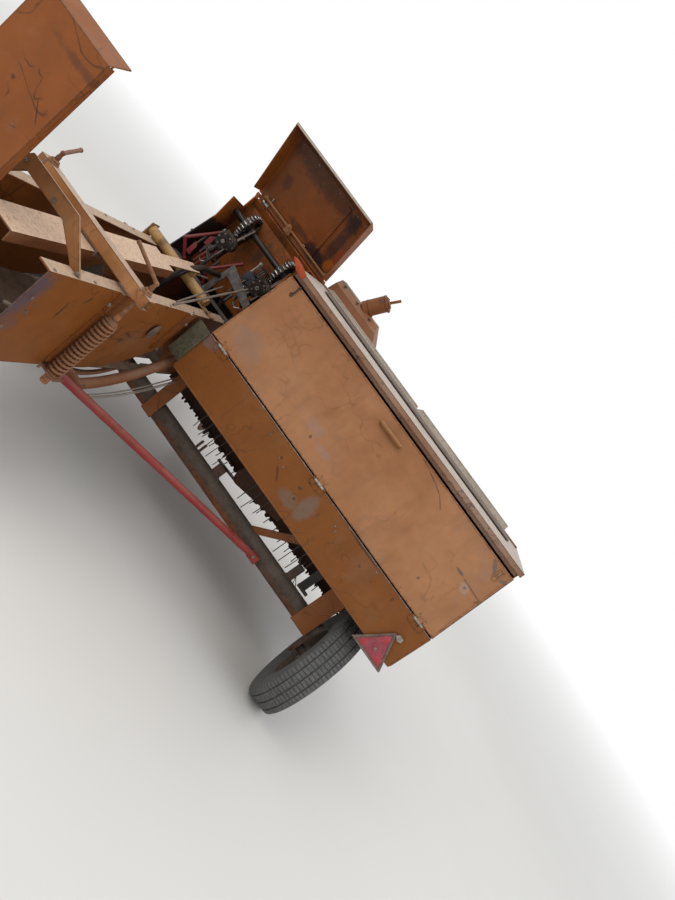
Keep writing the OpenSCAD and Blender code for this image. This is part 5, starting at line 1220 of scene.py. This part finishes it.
def hung_tines():
    """Thin tines on their bar under the box, a hung bracket, and a slanted plate behind them."""
    tines = Shape()
    for x, low in TINE_ENDS:
        bend = random.uniform(-0.006, 0.004)
        tines.tube([at(x + 0.004, 0.01, TINE_TOP), at(x + 0.003, 0.004, 0.64),
                    at(x + 0.001 + bend * 0.4, 0.0, 0.57), at(x + bend, 0.002, low)], 0.0024, 6)
    for x, lean in SHORT_TINES:
        tines.tube([at(x, 0.0, 0.60), at(x + lean * 0.25, -0.004, 0.56), at(x + lean * 0.6, 0.0, 0.52),
                    at(x + lean, 0.004, 0.487)], 0.002, 6)
    tines.rod(at(BOX_L + 0.003, 0.012, 0.722), at(BOX_R - 0.003, 0.012, 0.722), 0.008, 12)
    tines.block(at(1.557, -0.008, 0.51), at(1.602, 0.008, TINE_TOP), 0.003)
    tines.block(at(1.556, -0.012, 0.503), at(1.628, 0.012, 0.514), 0.002)
    tilt = Matrix.Rotation(math.radians(-3), 3, "Y")
    tines.block(at(0.811, 0.012, 0.537), at(0.942, 0.032, 0.547), 0.002, tilt)
    tines.done("hung_tines", "chassis", "greasy_iron")
    slanted = Shape()
    outline = [(0.918, 0.582), (0.936, 0.537), (0.962, 0.535), (1.242, 0.599), (1.242, TINE_TOP),
               (0.95, TINE_TOP)]
    slanted.plate(at(0, 0.028, 0), X, Z, outline, 0.005, 0.001)
    slanted.done("hung_plate", "chassis", "rusty_steel", DARK_RUST)


# The sides that the photo doesn't show
REEL_Y, REEL_Z = 0.985, 0.430
REEL_BARS, TINES = 4, 20
BANDS_X, BANDS_W = 0.480, 1.480
TINE_PITCH = BANDS_W / TINES
SIDE_L, SIDE_R = 0.440, 2.000
GUARD_Y, GUARD_Z = 1.045, 0.75


def pickup_fittings():
    """The reel tines' coils, the pickup's bolts, the wind guard's clamps and the side plates' edges."""
    coils = Shape()
    for bar in range(REEL_BARS):
        angle = math.radians(45 + 90 * bar)
        out = Vector((0, math.cos(angle), math.sin(angle)))
        for i in range(TINES):
            hub = at(BANDS_X + (i + 0.5) * TINE_PITCH, REEL_Y, REEL_Z) + out * 0.11
            coils.coil(hub - X * 0.013, X, 0.0148, 0.003, 3.5, 0.026, 10, 5)
            coils.bolt(hub + out * 0.0165 + X * 0.019, out, 0.005)
    coils.done("reel_tine_coils", "pickup_reel", "greasy_iron", WORN_STEEL)
    bolts = Shape()
    for i in range(TINES + 1):
        for dx in (-0.014, 0.014):
            bolts.rivet(at(BANDS_X + i * TINE_PITCH + dx, 0.695, 0.6202), Z, 0.006)
    bearing = [(0, 0.052), (0.008, 0.052), (0.012, 0.04), (0.017, 0.038), (0.018, 0.03)]
    for x, way in ((SIDE_L, -X), (SIDE_R, X)):
        hub = at(x, REEL_Y, REEL_Z)
        bolts.turned(hub, way, bearing, 28)
        for inner, outer in zip(around(hub, Y, Z, 0.072, 3, 0.5), around(hub, Y, Z, 0.2, 3, 1.5)):
            bolts.bolt(inner, way, 0.0075)
            bolts.bolt(outer, way, 0.006)
        bolts.turned(at(x, 0.638, 0.60), way, [(0, 0.03), (0.005, 0.03), (0.007, 0.024)], 22)
        for z in (0.51, 0.56):
            bolts.bolt(at(x, GUARD_Y, z) + way * 0.006, way, 0.0075)
    bolts.done("pickup_bolts", "pickup", "rusty_steel", WORN_STEEL)
    grips = Shape()
    left, right = BANDS_X + 0.05, BANDS_X + BANDS_W - 0.05
    for seat in line(at(left, GUARD_Y, GUARD_Z), at(right, GUARD_Y, GUARD_Z), 9):
        grips.turned(seat - X * 0.014, X, [(0, 0.0165), (0.028, 0.0165)], 16)
        grips.bolt(seat + Z * 0.0165, Z, 0.005)
    grips.done("guard_clamps", "pickup", "greasy_iron", WORN_STEEL)
    edges = Shape()
    for x in (SIDE_L + 0.003, SIDE_R - 0.003):
        edges.tube(arc(at(x, REEL_Y, REEL_Z), Y, Z, 0.2195, -120, 96, 36), 0.004, 8)
    edges.done("pickup_side_edges", "pickup", "orange_paint")


def gauge_wheel_mesh():
    """Solid tyre with a raised rib, the steel rim with its bolts, and the nut on the pin."""
    lo, hi = measured("gauge_wheel")
    middle = at((lo.x + hi.x) / 2, (lo.y + hi.y) / 2, (lo.z + hi.z) / 2)
    half = (hi.x - lo.x) / 2
    tyre = Shape()
    section = [(0.018, 0.074), (0.026, 0.078), (half, 0.090), (half, 0.112), (0.024, 0.123), (0.016, 0.127),
               (0.014, 0.1235), (0.010, 0.1235), (0.008, 0.1295)]
    section = [(-along, radius) for along, radius in section] + section[::-1]
    tyre.hoop(middle, X, Y, section, 64)
    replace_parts(tyre.done("gauge_tyre", "gauge_wheel", "tyre_rubber", smooth=30), "gauge_wheel")
    hub = Shape()
    rim = [(-0.0195, 0.0735), (-0.0215, 0.0775), (-0.0195, 0.0775), (-0.016, 0.0745), (0.016, 0.0745),
           (0.0195, 0.0775), (0.0215, 0.0775), (0.0195, 0.0735), (0.004, 0.066), (0.004, 0.034),
           (half, 0.03), (half, 0.0125), (-half, 0.0125), (-half, 0.03), (-0.004, 0.034), (-0.004, 0.066)]
    hub.hoop(middle, X, Y, rim, 40)
    for seat in around(middle + X * 0.004, Y, Z, 0.05, 4, 0.4):
        hub.bolt(seat, X, 0.006)
    hub.done("gauge_rim", "gauge_wheel", "rim_paint")
    pin = Shape()
    pin.bolt(middle + X * half, X, 0.0105)
    pin.done("gauge_wheel_nut", "pickup", "rusty_steel", WORN_STEEL)


DRIVE_Z = 0.880
WHEEL_Y = 1.88
PIVOT_X, PIVOT_Y = 0.040, 1.680


def drive_fittings():
    """Bolts of the crank case and of the drawbar's pivot; bolts, splines and rim beads of the flywheel."""
    bolts = Shape()
    for seat in around(at(0, 1.672, DRIVE_Z), X, Z, 0.115, 8):
        bolts.bolt(seat, Y, 0.0085)
    for x in (-0.15, 0.15):
        for z in (0.735, 0.88, 1.025):
            bolts.bolt(at(x, 1.612, z), Y, 0.0085)
    for side in SIDES:
        for y in (1.5, 1.66):
            for z in (0.5, 0.68, 0.86):
                bolts.bolt(at(side * 0.254, y, z), X * side, 0.009)
    filler = [(0, 0.018), (0.02, 0.018), (0.024, 0.03), (0.036, 0.03), (0.04, 0.02)]
    bolts.turned(at(0.08, 1.54, 1.05), Z, filler, 20)
    bolts.turned(at(PIVOT_X, PIVOT_Y, 0.264), -Z, [(0, 0.034), (0.016, 0.034), (0.02, 0.029)], 6)
    bolts.done("drive_bolts", "chassis", "rusty_steel", WORN_STEEL)
    wheel = Shape()
    seats = around(at(0, WHEEL_Y, DRIVE_Z), X, Z, 0.053, 6)
    for seat, spline in zip(seats, around(at(0, WHEEL_Y + 0.006, DRIVE_Z), X, Z, 0.0182, 6)):
        wheel.bolt(seat, Y, 0.0075)
        wheel.rod(spline, spline + Y * 0.08, 0.0028, 8)
    for side in (1, -1):
        wheel.bolt(at(0.07 * side, 1.85, DRIVE_Z), X * side, 0.0085)
    wheel.done("flywheel_bolts", "flywheel", "greasy_iron", WORN_STEEL)
    rim = Shape()
    bead = [(along, 0.3065 + out) for along, out in ellipse(0.003, 0.003, 6)]
    for y in (1.7615, 1.8285):
        rim.hoop(at(0, y, DRIVE_Z), Y, X, bead, 72)
    rim.done("flywheel_rim_beads", "flywheel", "greasy_iron", WORN_STEEL)


# the drawbar's direction in the parked position of the photo
PARKED = math.radians(17)
AHEAD = Vector((math.sin(PARKED), math.cos(PARKED), 0))
BESIDE = Vector((AHEAD.y, -AHEAD.x, 0))
JACK_ALONG, JACK_BESIDE = 1.12, 0.092


def on_drawbar(along, beside, z):
    return at(PIVOT_X, PIVOT_Y, z) + AHEAD * along + BESIDE * beside


def drawbar_fittings():
    """The drawbar's bolts, its weld seams with two cable hooks, and the jack's crank, rings and screw."""
    bolts = Shape()
    for along in (1.64, 1.69):
        for beside in (-0.03, 0.03):
            bolts.bolt(on_drawbar(along, beside, 0.388), Z, 0.009)
            bolts.bolt(on_drawbar(along, beside, 0.288), -Z, 0.009)
    for along in (1.09, 1.15):
        bolts.bolt(on_drawbar(along, 0.0505, 0.362), BESIDE, 0.008)
        bolts.bolt(on_drawbar(along, -0.05, 0.362), -BESIDE, 0.008)
    bolts.turned(on_drawbar(0, 0, 0.3885), Z, [(0, 0.04), (0.0, 0.041), (0.004, 0.04)], 24)
    bolts.done("drawbar_bolts", "drawbar", "rusty_steel", WORN_STEEL)
    seams = Shape()
    for z in (0.2905, 0.3855):
        for beside in (-0.0475, 0.0475):
            seams.tube(line(on_drawbar(0.08, beside, z), on_drawbar(1.63, beside, z), 20), 0.0035, 8)
    for along in (0.7, 1.45):
        seams.tube(arc(on_drawbar(along, -0.062, 0.372), AHEAD, Z, 0.022, -90, 200, 12), 0.0045, 8)
    seams.done("drawbar_seams", "drawbar", "orange_paint", FINISH["tie_arch"])
    jack = Shape()
    jack.tube([on_drawbar(JACK_ALONG, 0.19, 0.6203), on_drawbar(JACK_ALONG, 0.2, 0.6203)], 0.0083, 10)
    grip = [(0, 0.011), (0.01, 0.0125), (0.044, 0.0125), (0.052, 0.009)]
    jack.turned(on_drawbar(JACK_ALONG, 0.196, 0.632), Z, grip, 18)
    for z in (0.179, 0.59):
        jack.turned(on_drawbar(JACK_ALONG, JACK_BESIDE, z), Z, [(0, 0.0335), (0.008, 0.0335)], 24)
    for seat in around(on_drawbar(JACK_ALONG, JACK_BESIDE, 0.01), X, Y, 0.05, 4, 0.8):
        jack.bolt(seat, Z, 0.007)
    jack.coil(on_drawbar(JACK_ALONG, JACK_BESIDE, 0.03), Z, 0.0222, 0.0016, 16, 0.14, 18, 5)
    jack.done("jack_fittings", "drawbar", "greasy_iron", WORN_STEEL)


def cover_fittings():
    """Ribs and handles of the box's front cover, and the plates over its upper edge."""
    ribs = Shape()
    for i in range(7):
        x = BOX_L + 0.14 + i * (BOX_R - BOX_L - 0.28) / 6
        ribs.tube([at(x, 0.640, 1.4135), at(x, 0.700, 1.338), at(x, 0.794, 1.2205)], 0.0055, 8)
        ribs.tube([at(x, 0.8005, 1.19), at(x, 0.8005, 0.96)], 0.0055, 8)
    ribs.done("cover_ribs", "chassis", "faded_paint", FINISH["box_front_cover"])
    trim = Shape()
    half, z = 0.06, 1.13
    for x in (BOX_L + 0.36, BOX_R - 0.36):
        bow = ((-half, 0.802), (-half, 0.828), (half, 0.828), (half, 0.802))
        trim.tube([at(x + dx, y, z) for dx, y in bow], 0.0065, 10)
        for dx in (-half, half):
            trim.turned(at(x + dx, 0.8, z), Y, [(0, 0.014), (0.003, 0.013)], 14)
    for x in (BOX_L + 0.2, BOX_MIDDLE, BOX_R - 0.2):
        trim.plate(at(x - 0.03, 0.385, 1.462), X, Y, rectangle(0.06, 0.05), 0.003, 0.001)
    trim.done("cover_handles", "chassis", "rusty_steel", WORN_STEEL)


def housing_fittings():
    """Bolts of the feeder housing, and the bands and end cap of its slanted cylinder."""
    left = measured("feeder_housing")[0].x
    bolts = Shape()
    for dx in (0.05, 0.16, 0.27):
        bolts.bolt(at(left + dx, 0.452, 1.545), Vector((0, -0.66, 0.75)), 0.007)
    for z in (1.49, 1.53):
        bolts.bolt(at(left + 0.001, 0.52, z), -X, 0.007)
    foot, head = at(0.574, 0.498, 1.548), at(0.632, 0.498, 1.676)
    ahead = (head - foot).normalized()
    band = [(0, 0.0475), (0.002, 0.0485), (0.008, 0.0485), (0.010, 0.0475)]
    for share in (0.24, 0.93):
        bolts.turned(foot.lerp(head, share) - ahead * 0.005, ahead, band, 30)
    bolts.turned(head + ahead * 0.0005, ahead, [(0, 0.031), (0.005, 0.03), (0.008, 0.024)], 24)
    bolts.done("housing_bolts", "chassis", "rusty_steel", FINISH["feeder_housing"])


def chute_fittings():
    lo, hi = measured("bale_chute")
    edge = Shape()
    for x in (lo.x + 0.002, hi.x - 0.002):
        edge.tube(line(at(x, -1.394, 0.54), at(x, -1.394, 1.474), 10), 0.0032, 8)
    edge.done("chute_edges", "bale_chute", "orange_paint", FINISH["bale_chute"])
    bolts = Shape()
    for x, way in ((lo.x, -X), (hi.x, X)):
        bolts.bolt(at(x, -1.39, 0.507) + way * 0.0005, way, 0.0095)
    bolts.done("chute_bolts", "bale_chute", "rusty_steel", WORN_STEEL)


WELD_X = (0.836, 0.890, 1.478, 1.522)


def axle_fittings():
    """Bolts at the axle's ends, under the chamber and at the stay's ends, and weld beads on the tube."""
    bolts = Shape()
    for x, way in ((1.7865, X), (-0.366, -X)):
        for dz in (0.03, -0.03):
            for dy in (-0.032, 0.032):
                bolts.bolt(at(x, dy, 0.435 + dz), way, 0.008)
    for x in (-0.214, 0.214):
        for side in SIDES:
            bolts.bolt(at(x, side * 0.0425, 0.49), Y * side, 0.007)
    bolts.bolt(at(1.316, -0.0765, 0.43), -Y, 0.008)
    bolts.bolt(at(0.279, -0.81, 0.51), X, 0.0085)
    bolts.done("axle_bolts", "chassis", "rusty_steel", WORN_STEEL)
    weld = Shape()
    for x in WELD_X:
        weld.tube(line(at(x, -0.011, 0.4852), at(x, 0.011, 0.4852), 10), 0.0034, 6)
    weld.done("axle_welds", "chassis", "rusty_steel", FINISH["axle_tube"])


door_edges()
door_handle()
door_hook()
door_hasp()
door_left_fold()
hinges()
box_seams()
cap_fittings()
box_rivets()
reflector_fittings()
chamber_fittings()
box_end_plate()
yoke_straps()
screw_nuts()
chamber_extra_bolts()
knotter_fittings()
hood_gear()
hood_edges()
dirt_fringe()
hung_tines()
tyre_mesh("right_tyre", "right_wheel")
tyre_mesh("left_tyre", "left_wheel")
wheel_fittings("right_tyre", "right_wheel", 1)
wheel_fittings("left_tyre", "left_wheel", -1)
gauge_wheel_mesh()
pickup_fittings()
drive_fittings()
drawbar_fittings()
cover_fittings()
housing_fittings()
chute_fittings()
axle_fittings()


# Studio
FLOOR = 60
FADE_FROM = 4.5
FADE_TO = 12.0
SKY_TINT, SKY_STRENGTH = (0.93, 0.96, 1.0, 1), 0.72
WHITE = (1, 1, 1, 1)
# columns: name, place, aim, side of the square, watts, colour
LAMPS = (("key", (-3.0, -5.5, 6.5), (0.5, 0, 0.6), 5.0, 230, (1.0, 0.97, 0.92)),
         ("fill", (6.5, -3.0, 4.5), (0.8, 0, 0.6), 5.0, 80, (0.94, 0.97, 1.0)),
         ("top", (1.0, 2.5, 7.5), (0.6, 0.4, 0.5), 6.0, 110, (1, 1, 1)))


def direct_rays(tree):
    """1 for what the camera sees, also in a mirror or through glass."""
    path = tree.nodes.new("ShaderNodeLightPath")
    total = path.outputs["Is Camera Ray"]
    for name in ("Is Glossy Ray", "Is Transmission Ray"):
        plus = tree.nodes.new("ShaderNodeMath")
        plus.use_clamp = True
        tree.links.new(total, plus.inputs[0])
        tree.links.new(path.outputs[name], plus.inputs[1])
        total = plus.outputs[0]
    return total


def make_world():
    """Soft light from all round, behind a background that the camera sees as white."""
    world = bpy.data.worlds.new("studio")
    bpy.context.scene.world = world
    world.use_nodes = True
    tree = world.node_tree
    tree.nodes.clear()
    out = tree.nodes.new("ShaderNodeOutputWorld")
    lights = []
    for tint, strength in ((SKY_TINT, SKY_STRENGTH), (WHITE, 1.0)):
        light = tree.nodes.new("ShaderNodeBackground")
        light.inputs["Color"].default_value = tint
        light.inputs["Strength"].default_value = strength
        lights.append(light.outputs[0])
    mix = tree.nodes.new("ShaderNodeMixShader")
    for socket, source in zip(mix.inputs, [direct_rays(tree)] + lights):
        tree.links.new(source, socket)
    tree.links.new(mix.outputs[0], out.inputs[0])


def floor_material():
    """Pale paper that keeps the shadow near the machine and fades to the white background far away."""
    t = Tree("floor_paper")
    tone = t.mix(t.noise(0.8, 3), srgb("dedbd5"), srgb("e6e3de"))
    t.finish(tone, 0.9)
    flat = t.out.inputs["Surface"].links[0].from_socket
    away = t.add("VectorMath", {"operation": "LENGTH"}, i0=t.place).outputs["Value"]
    share = t.times(t.band(away, FADE_FROM, FADE_TO), direct_rays(t.tree))
    white = t.add("Emission", Color=WHITE, Strength=1.0).outputs[0]
    mixed = t.add("MixShader", i0=share, i1=flat, i2=white).outputs[0]
    t.tree.links.new(mixed, t.out.inputs["Surface"])
    return t.material


def make_floor():
    mesh = bpy.data.meshes.new("floor")
    corners = [(-FLOOR, -FLOOR, 0), (FLOOR, -FLOOR, 0), (FLOOR, FLOOR, 0), (-FLOOR, FLOOR, 0)]
    mesh.from_pydata(corners, [], [(0, 1, 2, 3)])
    floor = bpy.data.objects.new("floor", mesh)
    bpy.context.scene.collection.objects.link(floor)
    mesh.materials.append(floor_material())


def make_lamps():
    for name, place, aim, size, power, tone in LAMPS:
        data = bpy.data.lights.new(name, "AREA")
        data.size = size
        data.energy = power
        data.color = tone
        lamp = bpy.data.objects.new(name, data)
        turn = (at(*aim) - at(*place)).to_track_quat("-Z", "Y").to_matrix().to_4x4()
        lamp.matrix_world = Matrix.Translation(at(*place)) @ turn
        bpy.context.scene.collection.objects.link(lamp)


make_world()
make_floor()
make_lamps()
bpy.context.scene.view_settings.view_transform = "Standard"
